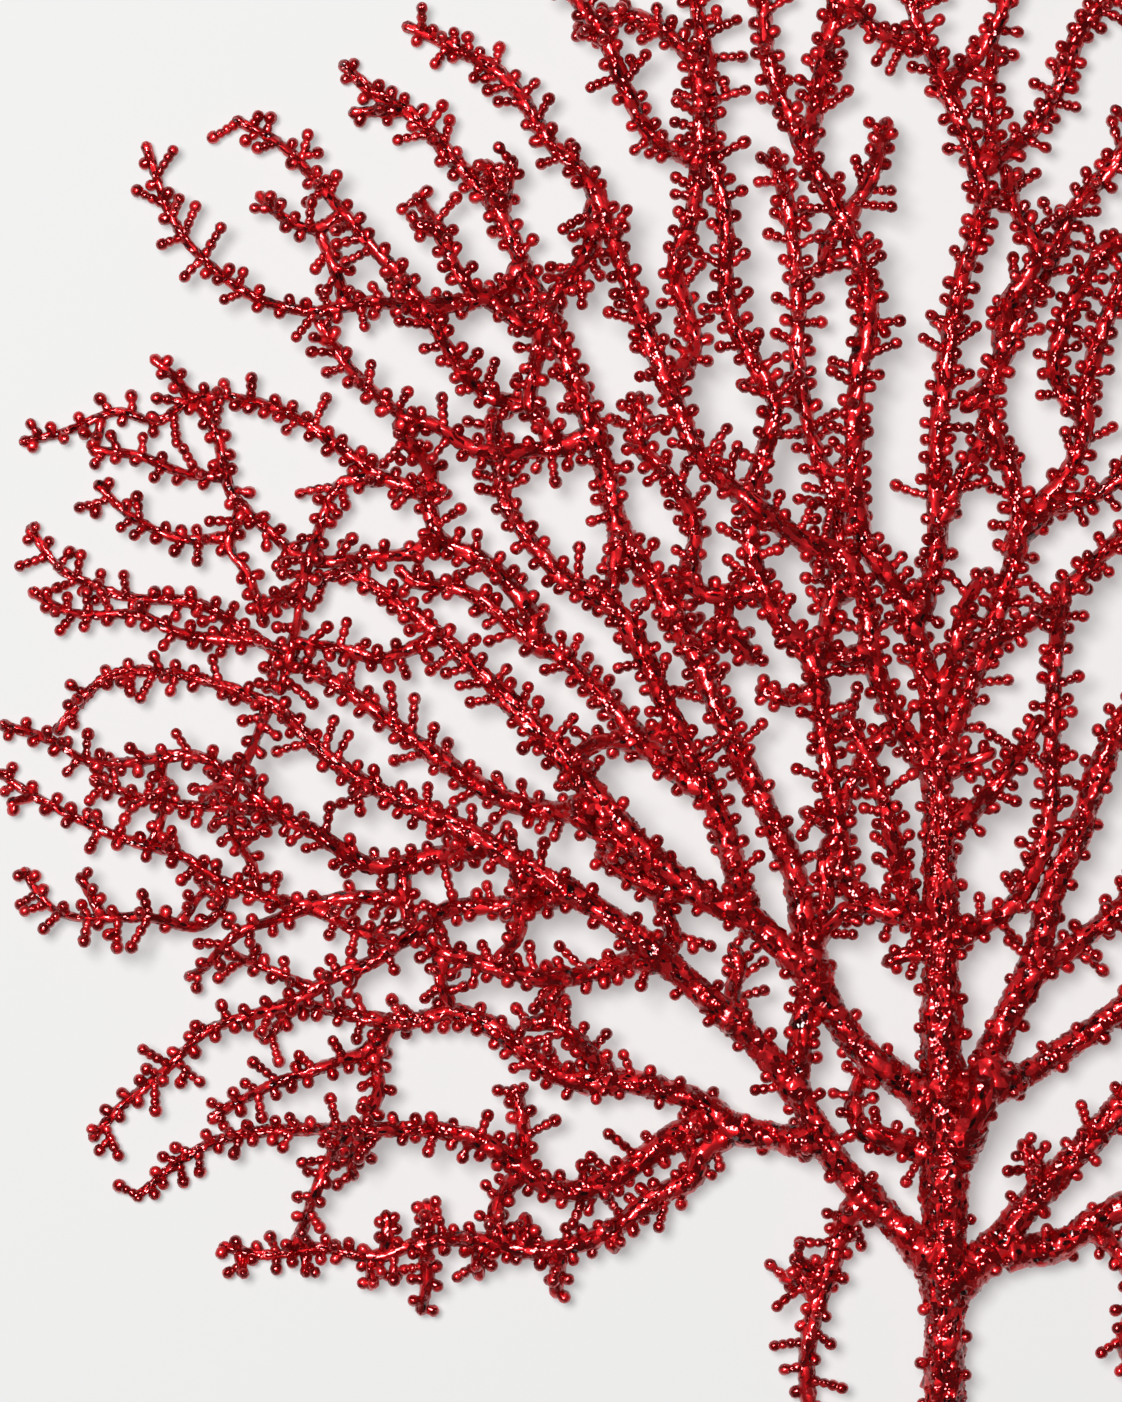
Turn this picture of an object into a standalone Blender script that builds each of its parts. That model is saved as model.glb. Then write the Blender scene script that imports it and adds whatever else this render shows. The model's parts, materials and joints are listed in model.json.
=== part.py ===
# A red coral branch, cut off at the foot of its stem and lying on its back.
# The fan lies in the XY plane with the stem along +Y. It is split at its main forks,
# and each piece is one closed solid: a limb with its own side branches and twigs.

import math
import random

import bmesh
import bpy
import numpy as np

MM = 0.001

# The foot of the stem, placed so that the origin is under the middle of the fan
FOOT = (0.0032, -0.1724)

# How the fan lies: its middle is arched off the surface, its rim and foot rest on it
ARCH_RISE = 6.0 * MM
ARCH_MIDDLE = (-0.0025, 0.165)
ARCH_HALF = (0.178, 0.165)
SWAY = 8.0 * MM

# How a branch leaves another and passes over those laid before it
CURVE_SAMPLES = 24
SAMPLE_STEP = 1.5 * MM
LEAST_STEPS = 4
JOIN_LENGTH = 13.0 * MM
CLIMB_SLOPE = 0.55
PASSING_GAP = 1.3 * MM
JOINT_GAP = 0.3 * MM
ROOT_SHARE = 0.62

# How finely the solids follow their branches
SHAPE_TOLERANCE = 0.75 * MM
THICK_RADIUS = 1.7 * MM
BEAD_RADIUS = 1.3 * MM
BEAD_LENGTH = 1.3 * MM
STEM_SIDES = 8
THICK_SIDES = 6
THIN_SIDES = 4
WELD_DISTANCE = 0.01 * MM
SHARP_ANGLE = 50.0

# The larger of the short twigs: how far apart they are, with the shares of that step
# at which the first and each next one comes, and how each leaves its branch
TWIG_STEP = 70.0 * MM
FIRST_STEP = (0.4, 0.8)
NEXT_STEP = (0.8, 1.2)
TWIG_LENGTH = (4.6 * MM, 7.2 * MM)
TWIG_RADIUS = 0.85 * MM
TWIG_ANGLE = (52.0, 78.0)
TWIG_RISE = (0.05, 0.35)
TWIG_CLEAR = 0.8 * MM
CLEAR_AT = (0.4, 0.6, 0.8, 1.0)

# The red lacquer
CORAL_RED = (0.46, 0.006, 0.011, 1.0)
CORAL_METALLIC = 0.35
CORAL_ROUGHNESS = 0.3

# Each branch: its name, the piece that it belongs to, the branch that it grows from,
# its radii from root to tip, and the points that it passes, all in millimetres from
# the foot of the stem. A fourth name, where there is one, is the branch it grows into.
BRANCHES = (
    ("stem", "stem", None, None, (3.8, 3.8, 4.1, 4.3, 4.2, 3.8, 3.2, 2.6),
     ((0, 0), (0, 20), (0.1, 45), (0, 60), (-0.5, 80), (-0.8, 100), (-1, 125), (-2, 148))),

    # The left side, from the lowest limb up
    ("low_left_limb", "low_left_limb", "stem", None, (2.8, 2.2, 1.7, 1.2, 0.9),
     ((-3, 47), (-11, 56), (-22, 68), (-29, 80.5), (-38, 91.7), (-46.5, 99.5), (-60, 111.5),
      (-68, 117.5), (-80, 124.5), (-90, 130.5), (-101, 136.5), (-114, 142.5), (-124, 149),
      (-133, 158), (-139, 160.5), (-148, 164), (-161, 165.8), (-168, 164.5), (-174, 159),
      (-178.5, 153))),
    ("low_left_twig", "low_left_limb", "low_left_limb", None, (1.0, 0.9),
     ((-40, 94), (-42.5, 101), (-41, 107), (-43, 111.5))),
    ("low_left_branch", "low_left_branch", "low_left_limb", None, (2.1, 1.7, 1.3, 0.9),
     ((-25, 71.5), (-33.5, 72.5), (-42.5, 74.5), (-49, 79.5), (-63, 83.5), (-73, 83.5),
      (-81, 87), (-89, 93.5), (-98, 97.5), (-109, 95.3), (-119, 97), (-129, 98.5),
      (-134, 94), (-137.3, 91.1))),
    ("low_left_rise", "low_left_branch", "low_left_branch", None, (1.1, 0.9),
     ((-67, 83.5), (-70, 88), (-73, 92), (-78, 96.5), (-77, 103.5))),
    ("low_left_tail", "low_left_tail", "low_left_branch", None, (1.3, 0.9),
     ((-112, 95.5), (-114, 90.5), (-124, 86.7), (-134, 83.2), (-144, 78), (-147.7, 75))),
    ("low_left_drop", "low_left_tail", "low_left_tail", None, (1.1, 0.9),
     ((-113.5, 90), (-113.2, 81.5), (-116.5, 74.5), (-119, 67), (-118, 63.5))),
    ("bottom_left_branch", "bottom_left_branch", "low_left_branch", None, (1.8, 1.4, 1.1, 0.9),
     ((-46, 76.5), (-53.5, 73), (-60.5, 68), (-69, 63), (-77, 62), (-84.5, 66), (-92, 71.5),
      (-100.5, 74), (-110.5, 74.3), (-129, 74), (-142.5, 72.5), (-152, 68.3), (-162.8, 59.5))),
    ("bottom_left_spray", "bottom_left_spray", "low_left_branch", None, (1.6, 1.2, 0.9),
     ((-42.5, 74.5), (-48.5, 69.5), (-50.5, 64), (-58, 60.5), (-65, 55), (-74, 51), (-83, 49.8),
      (-93, 51.8), (-103, 51.8), (-115, 48.3), (-125, 50), (-135, 48.5), (-145.7, 50.3))),
    ("bottom_left_drop", "bottom_left_branch", "bottom_left_branch", "bottom_left_spray", (1.1, 1.0),
     ((-119, 74), (-122.5, 69.5), (-126, 61.5), (-129, 53), (-131, 49.5))),
    ("bottom_left_link", "bottom_left_spray", "bottom_left_spray", "bottom_left_branch", (1.0, 1.0),
     ((-88, 51), (-90, 58), (-86, 64), (-85, 66))),
    ("bottom_left_rise", "bottom_left_branch", "bottom_left_branch", None, (1.0, 0.9),
     ((-84.5, 66), (-84.5, 76), (-86.5, 83))),
    ("bottom_left_fringe", "bottom_left_spray", "bottom_left_spray", None, (1.0, 0.9),
     ((-104, 51.5), (-103.5, 45), (-105, 36.5))),
    ("hanging_branch", "hanging_branch", "low_left_limb", None, (1.4, 1.1, 0.9),
     ((-15, 61.5), (-19.5, 56.5), (-22, 49), (-25, 40), (-27.3, 31), (-27.5, 22.5), (-26, 13))),
    ("hanging_side", "hanging_branch", "hanging_branch", None, (0.9, 0.9),
     ((-25, 40), (-29, 44.5), (-33, 43.5))),
    ("small_left_branch", "small_left_branch", "stem", None, (1.5, 0.9),
     ((-4, 68), (-13, 73), (-17, 73.8), (-18, 80.5), (-16, 86))),
    ("left_edge_branch", "left_edge_branch", "low_left_limb", None, (1.7, 1.4, 1.1, 0.9),
     ((-92, 131.5), (-101, 128.8), (-115, 127), (-125.5, 133.5), (-133, 137), (-143, 145),
      (-150, 149), (-164, 147.5), (-172.5, 148), (-179, 152), (-190, 155.3))),
    ("left_edge_side", "left_edge_branch", "left_edge_branch", None, (1.0, 0.9),
     ((-133, 137), (-146, 138.5), (-157, 139.5), (-166, 142), (-171.3, 144.5))),
    ("left_bow", "left_bow", "low_left_limb", "left_edge_branch", (1.5, 1.2, 1.1),
     ((-57, 108.5), (-63, 107.8), (-71, 105.3), (-80, 104.5), (-88, 106), (-96, 108.5),
      (-103, 110.5), (-107, 116.5), (-108.5, 124), (-107, 127.5))),
    ("left_bow_drop", "left_bow", "left_bow", None, (1.0, 0.9),
     ((-101, 110), (-101, 104), (-98.5, 98.7))),
    ("left_diagonal", "left_diagonal", "low_left_limb", None, (1.5, 1.2, 1.0, 0.9),
     ((-76, 122), (-84, 119), (-98, 118.5), (-104, 115), (-114, 108), (-122.5, 104.5),
      (-130, 100), (-140, 96.5), (-148, 93.5), (-157, 85), (-165, 78.5), (-171.5, 71.3))),
    ("left_diagonal_side", "left_diagonal", "left_diagonal", None, (1.0, 0.9),
     ((-126.5, 102.5), (-134, 105.5), (-144.5, 109.5))),
    ("left_middle_branch", "left_middle_branch", "left_bow", None, (1.4, 1.2, 1.0, 0.9),
     ((-108, 119.7), (-119, 120.5), (-129, 118.8), (-140, 122), (-147.5, 125), (-153, 129),
      (-164, 132), (-175.5, 137), (-186, 142.7), (-190, 146))),
    ("left_middle_side", "left_middle_branch", "left_middle_branch", None, (1.0, 0.9),
     ((-128, 119), (-134, 116), (-142, 113), (-148, 106.5), (-152.5, 104))),
    ("left_middle_back", "left_middle_branch", "left_middle_branch", None, (1.0, 0.9),
     ((-127.5, 118.5), (-120, 115), (-113, 112.5), (-109, 112))),
    ("left_middle_stay", "left_middle_branch", "left_edge_branch", "left_middle_branch", (0.9, 0.9),
     ((-157, 148), (-156.5, 140), (-157.5, 134), (-159, 130.5))),
    ("left_middle_twig", "left_middle_branch", "left_middle_branch", None, (1.1, 1.0, 0.9),
     ((-145, 123.5), (-145, 118), (-150, 114.5), (-159, 116.5), (-174, 116.5), (-180.5, 119.5),
      (-185.1, 126.4))),
    ("left_cross", "left_cross", "low_left_limb", "left_middle_branch", (1.0, 0.9),
     ((-135.5, 159), (-138, 151.5), (-141.5, 143), (-142.5, 133.5), (-139, 128), (-138, 122))),
    ("middle_left_limb", "middle_left_limb", "stem", None, (3.1, 2.5, 1.9, 1.3, 0.9),
     ((-3, 79), (-15, 88.5), (-22, 97), (-28, 105.5), (-39, 116.3), (-47, 120), (-57, 127),
      (-66, 136.5), (-73.5, 145), (-82, 154.5), (-92, 164.5), (-103, 174.5), (-113, 181.7),
      (-120, 185.5), (-127, 183.5))),
    ("limb_link", "middle_left_limb", "low_left_limb", "middle_left_limb", (1.4, 1.2, 1.4),
     ((-29.5, 82), (-29, 91.5), (-28, 99), (-26, 103))),
    ("middle_left_low", "middle_left_limb", "middle_left_limb", None, (1.2, 0.9),
     ((-50, 122), (-58, 122.5), (-65, 126.5), (-70, 129.5))),
    ("middle_left_drop", "middle_left_limb", "middle_left_low", None, (1.0, 0.9),
     ((-56.5, 122), (-55.5, 116), (-53, 110.5))),
    ("far_left_branch", "far_left_branch", "middle_left_limb", None, (1.7, 1.4, 1.1, 0.9),
     ((-69, 139.5), (-78, 137.5), (-89, 140.5), (-99.5, 147), (-110, 155), (-119, 161.5),
      (-129, 167), (-139, 173), (-150, 179.5), (-162, 180.3), (-173, 183.8), (-179, 188),
      (-183.9, 195.3))),
    ("far_left_spray", "far_left_branch", "far_left_branch", None, (1.1, 0.9),
     ((-138, 172.3), (-146, 172.3), (-154, 173.5), (-161, 177), (-170, 177), (-176.5, 178),
      (-183.9, 182.3))),
    ("inner_left_limb", "inner_left_limb", "middle_left_limb", None, (1.8, 1.5, 1.2, 0.9),
     ((-39, 117), (-42, 126), (-44.5, 134.5), (-49.5, 146), (-55.5, 158), (-60.3, 169),
      (-66.5, 178.5), (-75.5, 184), (-81, 189.5), (-88, 199.5), (-89.3, 209.5), (-90.5, 219))),
    ("inner_left_branch", "inner_left_branch", "inner_left_limb", None, (1.4, 1.2, 0.9),
     ((-47.5, 141.5), (-58, 149), (-65.5, 157.5), (-75, 167.2), (-84, 172.5), (-91.5, 179),
      (-98, 182.5), (-106, 183.5), (-110, 187))),
    ("inner_left_side", "inner_left_branch", "inner_left_branch", None, (1.0, 0.9),
     ((-61, 152), (-70, 151.5), (-75, 147))),
    ("arch_branch", "arch_branch", "inner_left_branch", None, (1.4, 1.2, 1.0, 0.9),
     ((-82.5, 171), (-84, 179.5), (-92.5, 188), (-101.3, 192.5), (-104, 200.8), (-112, 204.5),
      (-121, 210.5), (-130, 216.8), (-141, 220.5), (-150.5, 220.5), (-158, 215.8),
      (-166, 218), (-176, 214), (-185.8, 211.7))),
    ("arch_spur", "arch_branch", "arch_branch", None, (0.9, 0.9),
     ((-150.5, 220.5), (-154, 224.5), (-159, 229))),
    ("arch_drop", "arch_drop", "arch_branch", "arch_branch", (1.2, 1.0, 1.1),
     ((-149, 220), (-145.8, 213), (-143, 201.5), (-135.5, 194), (-127, 187.8), (-115, 188.8),
      (-107, 189.3), (-101.5, 192))),
    ("arch_left_side", "arch_drop", "arch_drop", None, (1.0, 0.9),
     ((-143.8, 205), (-152, 205.3), (-161.5, 209), (-171.8, 210.3))),
    ("arch_low_side", "arch_drop", "arch_drop", None, (1.1, 0.9),
     ((-141.5, 198), (-143.5, 191), (-139.5, 185), (-136, 174.5))),
    ("arch_low_tip", "arch_drop", "arch_low_side", None, (1.0, 0.9),
     ((-143.3, 192), (-153, 192.3), (-163, 196.8), (-170.5, 204))),
    ("left_upright", "left_upright", "arch_branch", None, (1.1, 0.9),
     ((-112, 205), (-121.5, 203), (-125.8, 192), (-128.5, 183.5), (-130, 173.5), (-133, 161))),
    ("left_upright_side", "left_upright", "left_upright", "middle_left_limb", (1.0, 1.0),
     ((-130, 172), (-122, 170.5), (-112, 168.3), (-102, 172.5))),
    ("upper_left_limb", "upper_left_limb", "middle_left_limb", None, (2.0, 1.7, 1.5, 1.2, 0.9),
     ((-24, 100.5), (-27.5, 112), (-30, 125), (-35.5, 137.5), (-42, 150.5), (-48, 164),
      (-56, 180), (-65, 194), (-69, 210), (-76, 228.5), (-83, 244), (-89.5, 258), (-98.5, 268.5),
      (-106, 277), (-114.5, 282), (-121.3, 288.4))),
    ("upper_left_side", "upper_left_side", "upper_left_limb", None, (1.2, 1.0),
     ((-70, 213), (-79, 210.3), (-93, 209.5), (-102, 215), (-108, 216.5), (-117.5, 224.5),
      (-122.5, 231.3), (-126, 237))),
    ("upper_left_drop", "upper_left_side", "upper_left_side", "arch_branch", (1.1, 1.1),
     ((-108.3, 216.5), (-108, 212), (-103, 206.5), (-103.5, 200.5))),
    ("upper_left_branch", "upper_left_branch", "upper_left_side", None, (1.2, 1.0, 0.9),
     ((-78, 211), (-84, 219), (-92, 221), (-99, 229.5), (-107, 242.5), (-115, 251),
      (-125, 263), (-133, 271.5), (-142.9, 276.9))),
    ("upper_left_twig", "upper_left_branch", "upper_left_branch", None, (1.0, 0.9),
     ((-120, 257), (-126.5, 254), (-133, 257), (-137.9, 261.9))),
    ("upper_left_arm", "upper_left_arm", "upper_left_branch", None, (1.1, 1.0, 0.9),
     ((-104, 238), (-114, 239.8), (-126.5, 237.8), (-137.5, 240.3), (-147, 247),
      (-154.5, 256), (-160.5, 272.3))),
    ("upper_left_stay", "upper_left_branch", "upper_left_twig", "upper_left_arm", (1.0, 1.0),
     ((-125.5, 253.7), (-122, 246), (-120.4, 239))),
    ("upper_left_link", "upper_left_limb", "upper_left_limb", None, (1.1, 0.9),
     ((-85, 248), (-87.5, 242.5), (-93, 240.7), (-97, 245), (-101.5, 254.5), (-106.3, 261.8))),
    ("upper_left_bridge", "upper_left_limb", "upper_left_link", "upper_left_branch", (1.0, 1.0),
     ((-92.5, 240.5), (-98, 239.2), (-105, 238.5))),
    ("inner_upright", "inner_upright", "stem", None, (1.6, 1.4, 1.2, 1.0, 0.9),
     ((-4, 116.5), (-12, 118), (-18.8, 121.5), (-21.3, 133.5), (-24, 150), (-26.5, 167),
      (-34, 177), (-38.5, 188.5), (-38.5, 202), (-34, 218), (-38, 226.5), (-43.5, 238.5),
      (-44, 256.5), (-47, 270), (-47.5, 287.5), (-52, 309), (-57, 326))),
    ("inner_upright_side", "inner_upright", "inner_upright", None, (0.9, 0.9),
     ((-25.5, 161), (-32, 160.5), (-38, 162.5))),
    ("inner_strand", "inner_strand", "inner_upright", None, (1.2, 0.9),
     ((-7.5, 117.5), (-8.5, 124), (-10, 130), (-13, 142), (-17, 151.5), (-21, 158))),
    ("inner_strand_side", "inner_strand", "inner_strand", None, (0.9, 0.9),
     ((-15.5, 149), (-19, 143), (-20.5, 138.5))),
    ("thin_strand", "thin_strand", "inner_upright", None, (1.1, 0.9),
     ((-26.5, 166.5), (-22.5, 180), (-21.5, 197), (-26.5, 212), (-29.3, 227), (-29.3, 241),
      (-30.8, 256.5), (-34.5, 271))),

    # The crown, where the stem parts at its top
    ("crown_left", "crown_left", "stem", None, (1.6, 1.4, 1.3, 1.1, 0.9),
     ((-3, 145), (-8, 153.5), (-14.5, 167.5), (-16, 180), (-21, 189), (-28, 191.5),
      (-38, 198.5), (-48.5, 208), (-55, 221.5), (-60.5, 235.5), (-66.5, 252), (-71.5, 264.5),
      (-79, 271.5), (-87.5, 284.5), (-98, 290.8), (-108.8, 295.8))),
    ("strand_link", "crown_left", "crown_left", "thin_strand", (0.9, 0.9),
     ((-15, 169.5), (-20, 168.5), (-25, 171))),
    ("crown_left_spur", "crown_left", "crown_left", None, (1.1, 0.9),
     ((-70, 261), (-71, 250), (-79, 238.5), (-82.3, 225), (-83.5, 217))),
    ("crown_left_link", "crown_left_link", "inner_upright", "upper_left_limb", (1.1, 1.0),
     ((-37, 181.5), (-46.5, 181), (-53, 184), (-57, 182.5))),
    ("crown_left_drop", "crown_left_link", "crown_left_link", None, (0.9, 0.9),
     ((-45, 181), (-44.5, 174.5), (-49, 169.5))),
    ("crown_left_rise", "crown_left_link", "crown_left_link", None, (1.0, 0.9),
     ((-51, 183.5), (-50, 194.5), (-55, 204.5), (-61, 211), (-61, 222))),
    ("top_left_strand", "top_left_strand", "crown_left", None, (1.2, 1.0, 0.9),
     ((-55.5, 223), (-50, 231), (-54, 246), (-50.5, 257.5), (-49, 278), (-51.5, 289.5),
      (-63, 297.5), (-74.5, 294.8))),
    ("top_left_fork", "top_left_strand", "top_left_strand", None, (1.0, 0.9),
     ((-49.5, 267.5), (-58, 272), (-64, 282.5), (-69, 294), (-79, 307), (-83, 315), (-84, 323))),
    ("crown_middle", "crown_middle", "stem", None, (1.7, 1.5, 1.3, 1.1, 0.9),
     ((-2, 149), (-3.5, 164), (-8.5, 179.5), (-17, 194), (-18.3, 211), (-17.3, 226.5),
      (-15.5, 239), (-20.5, 255.5), (-28, 269.5), (-35, 287), (-37, 309), (-42, 326),
      (-40, 334))),
    ("crown_middle_twig", "crown_middle", "crown_middle", None, (0.9, 0.9),
     ((-20.5, 256), (-15, 264), (-11.3, 276.7))),
    ("crown_middle_fork", "crown_middle_fork", "crown_middle", None, (1.1, 0.9),
     ((-28, 270), (-26, 277.5), (-23.8, 290), (-22, 300), (-22, 318), (-20, 336))),
    ("crown_inner", "crown_inner", "crown_middle", None, (1.3, 1.2, 1.0, 0.9),
     ((-6, 175), (-1.5, 189), (-2, 205), (0.3, 228), (3.5, 245), (7.5, 258), (5.5, 269),
      (-0.5, 284), (-6, 298), (-5, 309), (-7, 318), (-4, 327), (-5, 345))),
    ("crown_inner_side", "crown_inner", "crown_inner", None, (0.9, 0.9),
     ((-1, 195.5), (3, 204), (9, 214))),
    ("crown_inner_link", "crown_middle_fork", "crown_inner", "crown_middle_fork", (0.9, 0.9),
     ((-4.5, 291), (-11.5, 292.5), (-17, 297), (-22, 300))),
    ("crown_inner_fork", "crown_inner_fork", "crown_inner", None, (1.1, 0.9),
     ((7, 266), (16.5, 273), (23, 282.5), (27.5, 294.5), (38, 307), (43, 323), (47, 332))),
    ("crown_inner_twig", "crown_inner", "crown_inner", None, (1.0, 0.9),
     ((0.5, 282), (8.5, 291.5), (12, 300), (12, 318), (15, 335))),
    ("crown_right", "crown_right", "stem", None, (1.6, 1.4, 1.2, 1.0, 0.9),
     ((0, 147), (4, 160.5), (9.5, 175), (14.5, 191.5), (13.5, 204.5), (8.5, 218), (13.5, 233),
      (21, 247.5), (26, 258.5), (34.5, 268), (44, 285), (53, 302), (61, 318), (65, 326))),
    ("crown_right_back", "crown_right", "crown_right", None, (1.1, 0.9),
     ((10.5, 229), (12, 238), (18.3, 248.5), (14, 258.5), (12, 267))),
    ("crown_right_fork", "crown_right_fork", "crown_right", None, (1.3, 1.0, 0.9),
     ((14.5, 191), (20, 199.5), (27, 210), (28.5, 224), (34, 240), (42, 257), (56, 272),
      (65, 289), (78, 304))),
    ("crown_right_loop", "crown_right_fork", "crown_right_fork", None, (1.0, 0.9),
     ((28, 217), (22, 225), (24, 236), (31, 249), (37, 252))),
    ("crown_right_side", "crown_right_side", "crown_right_fork", None, (1.1, 0.9),
     ((19.5, 199), (28, 200), (35, 204.5), (43, 212), (46, 224), (50, 238))),
    ("crown_right_low", "crown_right_low", "crown_right", None, (1.2, 0.9),
     ((8, 171), (17.5, 176), (26, 184), (34, 191.5), (41, 198))),

    # The right side, which the picture shows only near the stem
    ("low_right_limb", "low_right_limb", "stem", None, (3.2, 2.3, 1.7, 1.2, 0.9),
     ((2, 43), (10, 50), (15.5, 57.5), (23, 65.5), (31, 74), (39, 83), (48, 90), (65, 101),
      (82, 113), (91, 117), (100, 124), (117, 131), (126, 137), (144, 142), (152, 147),
      (161, 150), (169, 149), (179, 154))),
    ("low_right_twig", "low_right_limb", "low_right_limb", None, (0.9, 0.9),
     ((19, 61.5), (18, 67), (15, 72))),
    ("low_right_side", "low_right_side", "low_right_limb", None, (1.5, 1.2, 0.9),
     ((66, 102), (83, 99), (101, 105), (119, 102), (137, 104), (155, 99), (165, 95))),
    ("low_right_fork", "low_right_fork", "low_right_limb", None, (1.3, 1.1, 0.9),
     ((109, 128), (116, 124), (134, 123), (152, 117), (170, 121), (180, 120))),
    ("low_right_tip", "low_right_limb", "low_right_limb", None, (1.1, 0.9),
     ((135, 140), (141, 134), (149, 131), (165, 137), (184, 139))),
    ("bottom_right_branch", "bottom_right_branch", "low_right_limb", None, (2.2, 1.6, 1.2, 0.9),
     ((9, 49.5), (22, 50.5), (31, 56), (40, 60), (58, 60), (67, 62), (76, 67), (94, 70),
      (112, 79), (130, 78), (147, 86), (155, 86), (163, 81))),
    ("bottom_right_spray", "bottom_right_spray", "bottom_right_branch", None, (1.4, 1.1, 0.9),
     ((49, 61), (56, 54), (73, 49), (91, 55), (109, 52), (127, 54), (144, 55), (151, 50))),
    ("bottom_right_drop", "bottom_right_spray", "bottom_right_spray", None, (1.0, 0.9),
     ((82, 52), (87, 43), (94, 31))),
    ("bottom_right_rise", "bottom_right_rise", "bottom_right_branch", None, (1.2, 0.9),
     ((85, 69), (91, 77), (109, 88), (127, 91), (143, 94))),
    ("low_right_hanging", "low_right_hanging", "bottom_right_branch", None, (1.2, 0.9),
     ((30, 55), (36, 48), (38, 40), (36, 31), (40, 22))),
    ("middle_right_limb", "middle_right_limb", "stem", None, (3.0, 2.1, 1.6, 1.3, 1.1, 0.9),
     ((2, 67), (5.5, 77), (8.5, 87), (13, 97.5), (17.5, 106.5), (22, 124), (26, 132),
      (32, 149), (42, 166), (51, 184), (64, 201), (73, 219), (86, 236), (95, 254),
      (108, 270), (117, 286))),
    ("middle_right_upright", "middle_right_upright", "middle_right_limb", None, (1.2, 1.0, 0.9),
     ((51, 183), (52, 193), (51, 206), (57, 219), (58, 237), (66, 254), (68, 272), (76, 288))),
    ("middle_right_twig", "middle_right_limb", "middle_right_limb", None, (1.1, 0.9),
     ((73, 219), (91, 226), (107, 236), (122, 250), (139, 261))),
    ("middle_right_branch", "middle_right_branch", "middle_right_limb", None,
     (1.9, 1.5, 1.2, 0.9),
     ((8, 82), (15, 84.5), (27.5, 92.5), (39, 101), (55, 111), (71, 123), (87, 134),
      (103, 146), (118, 160), (135, 170), (152, 178), (168, 187), (177, 193))),
    ("middle_right_side", "middle_right_side", "middle_right_branch", None, (1.2, 0.9),
     ((88, 135), (105, 137), (123, 147), (141, 155), (159, 163), (178, 170))),
    ("upper_right_branch", "upper_right_branch", "middle_right_limb", None,
     (1.5, 1.3, 1.1, 0.9),
     ((18, 105), (24, 109.5), (38, 121), (50, 137), (65, 150), (78, 167), (94, 180),
      (107, 197), (124, 209), (139, 224), (156, 235))),
    ("upper_right_side", "upper_right_side", "upper_right_branch", None, (1.2, 0.9),
     ((66, 151), (83, 155), (99, 163), (116, 176), (134, 187), (150, 200), (167, 207))),
    ("right_inner", "right_inner", "stem", None, (1.5, 1.1, 0.9),
     ((2, 112), (13, 118.5), (20, 133.5), (21.3, 155), (22.5, 175), (24, 184))),
    ("right_twig", "right_twig", "stem", None, (1.2, 0.9),
     ((0, 133), (6.5, 139), (14.5, 149), (19, 157))),
)


def clear_scene():
    for obj in list(bpy.data.objects):
        bpy.data.objects.remove(obj, do_unlink=True)


def new_collection(name, parent):
    made = bpy.data.collections.new(name)
    parent.children.link(made)
    return made


def smooth_route(points, step):
    """Evenly spaced points on a Catmull-Rom curve through the given ones."""
    ends = np.vstack([2 * points[0] - points[1], points, 2 * points[-1] - points[-2]])
    dense = []
    for a, b, c, d in zip(ends, ends[1:], ends[2:], ends[3:]):
        share = np.linspace(0, 1, CURVE_SAMPLES, endpoint=False)[:, None]
        dense.append(0.5 * (2 * b + (c - a) * share + (2 * a - 5 * b + 4 * c - d) * share**2
                            + (3 * b - a - 3 * c + d) * share**3))
    dense = np.vstack(dense + [points[-1:]])
    along = distances_along(dense)
    spaced = np.linspace(0, along[-1], max(int(along[-1] / step), LEAST_STEPS) + 1)
    return np.column_stack([np.interp(spaced, along, dense[:, k]) for k in range(2)])


def distances_along(points):
    return np.concatenate([[0], np.cumsum(np.linalg.norm(np.diff(points, axis=0), axis=1))])


def arch_height(route):
    """How far the fan's underside is off the surface: a shallow dome over its middle."""
    off = (route - ARCH_MIDDLE) / ARCH_HALF
    return ARCH_RISE * np.clip(1 - (off**2).sum(axis=1), 0, 1)


def nearest(spine, point):
    return int(np.argmin(np.linalg.norm(spine["route"] - point, axis=1)))


def lay_branch(name, piece, parent, target, radii, points, laid):
    """The branch's centre line and radii. It starts on its parent's centre line, settles
    on the arch with a sway of its own, and climbs over the branches laid before it."""
    points = np.array(points) * MM
    if parent:
        root = nearest(parent, points[0])
        points[0] = parent["route"][root]
    if target:
        end = nearest(target, points[-1])
        points[-1] = target["route"][end]
    route = smooth_route(points, SAMPLE_STEP)
    along = distances_along(route)
    length = along[-1]
    radius = np.interp(along / length, np.linspace(0, 1, len(radii)), radii) * MM
    sway = SWAY * random.Random(name).random() if parent else 0
    rest = np.maximum(radius, BEAD_RADIUS) + arch_height(route)
    rest += sway * np.sin(math.pi * along / length)**2
    free = along > JOIN_LENGTH if parent else along >= 0
    if target:
        free &= along < length - JOIN_LENGTH
    need = rest.copy()
    for other in laid:
        apart = np.linalg.norm(route[:, None] - other["route"][None], axis=2)
        reach = radius[:, None] + other["radius"][None] + PASSING_GAP
        over = other["height"][None] + np.sqrt(np.clip(reach**2 - apart**2, 0, None))
        over = np.where(apart < reach, over, 0).max(axis=1)
        need = np.where(free, np.maximum(need, over), need)
    climb = CLIMB_SLOPE * np.abs(along[:, None] - along[None])
    height = (need[None] - climb).max(axis=1)
    if parent:
        height = blend(parent["height"][root], height, along)
        radius[0] = min(radius[0], ROOT_SHARE * parent["radius"][root])
    if target:
        height = blend(target["height"][end], height, length - along)
        radius[-1] = min(radius[-1], ROOT_SHARE * target["radius"][end])
    return {"name": name, "piece": piece, "route": route, "height": height,
            "radius": radius, "along": along, "open_tip": target is None}


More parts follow.
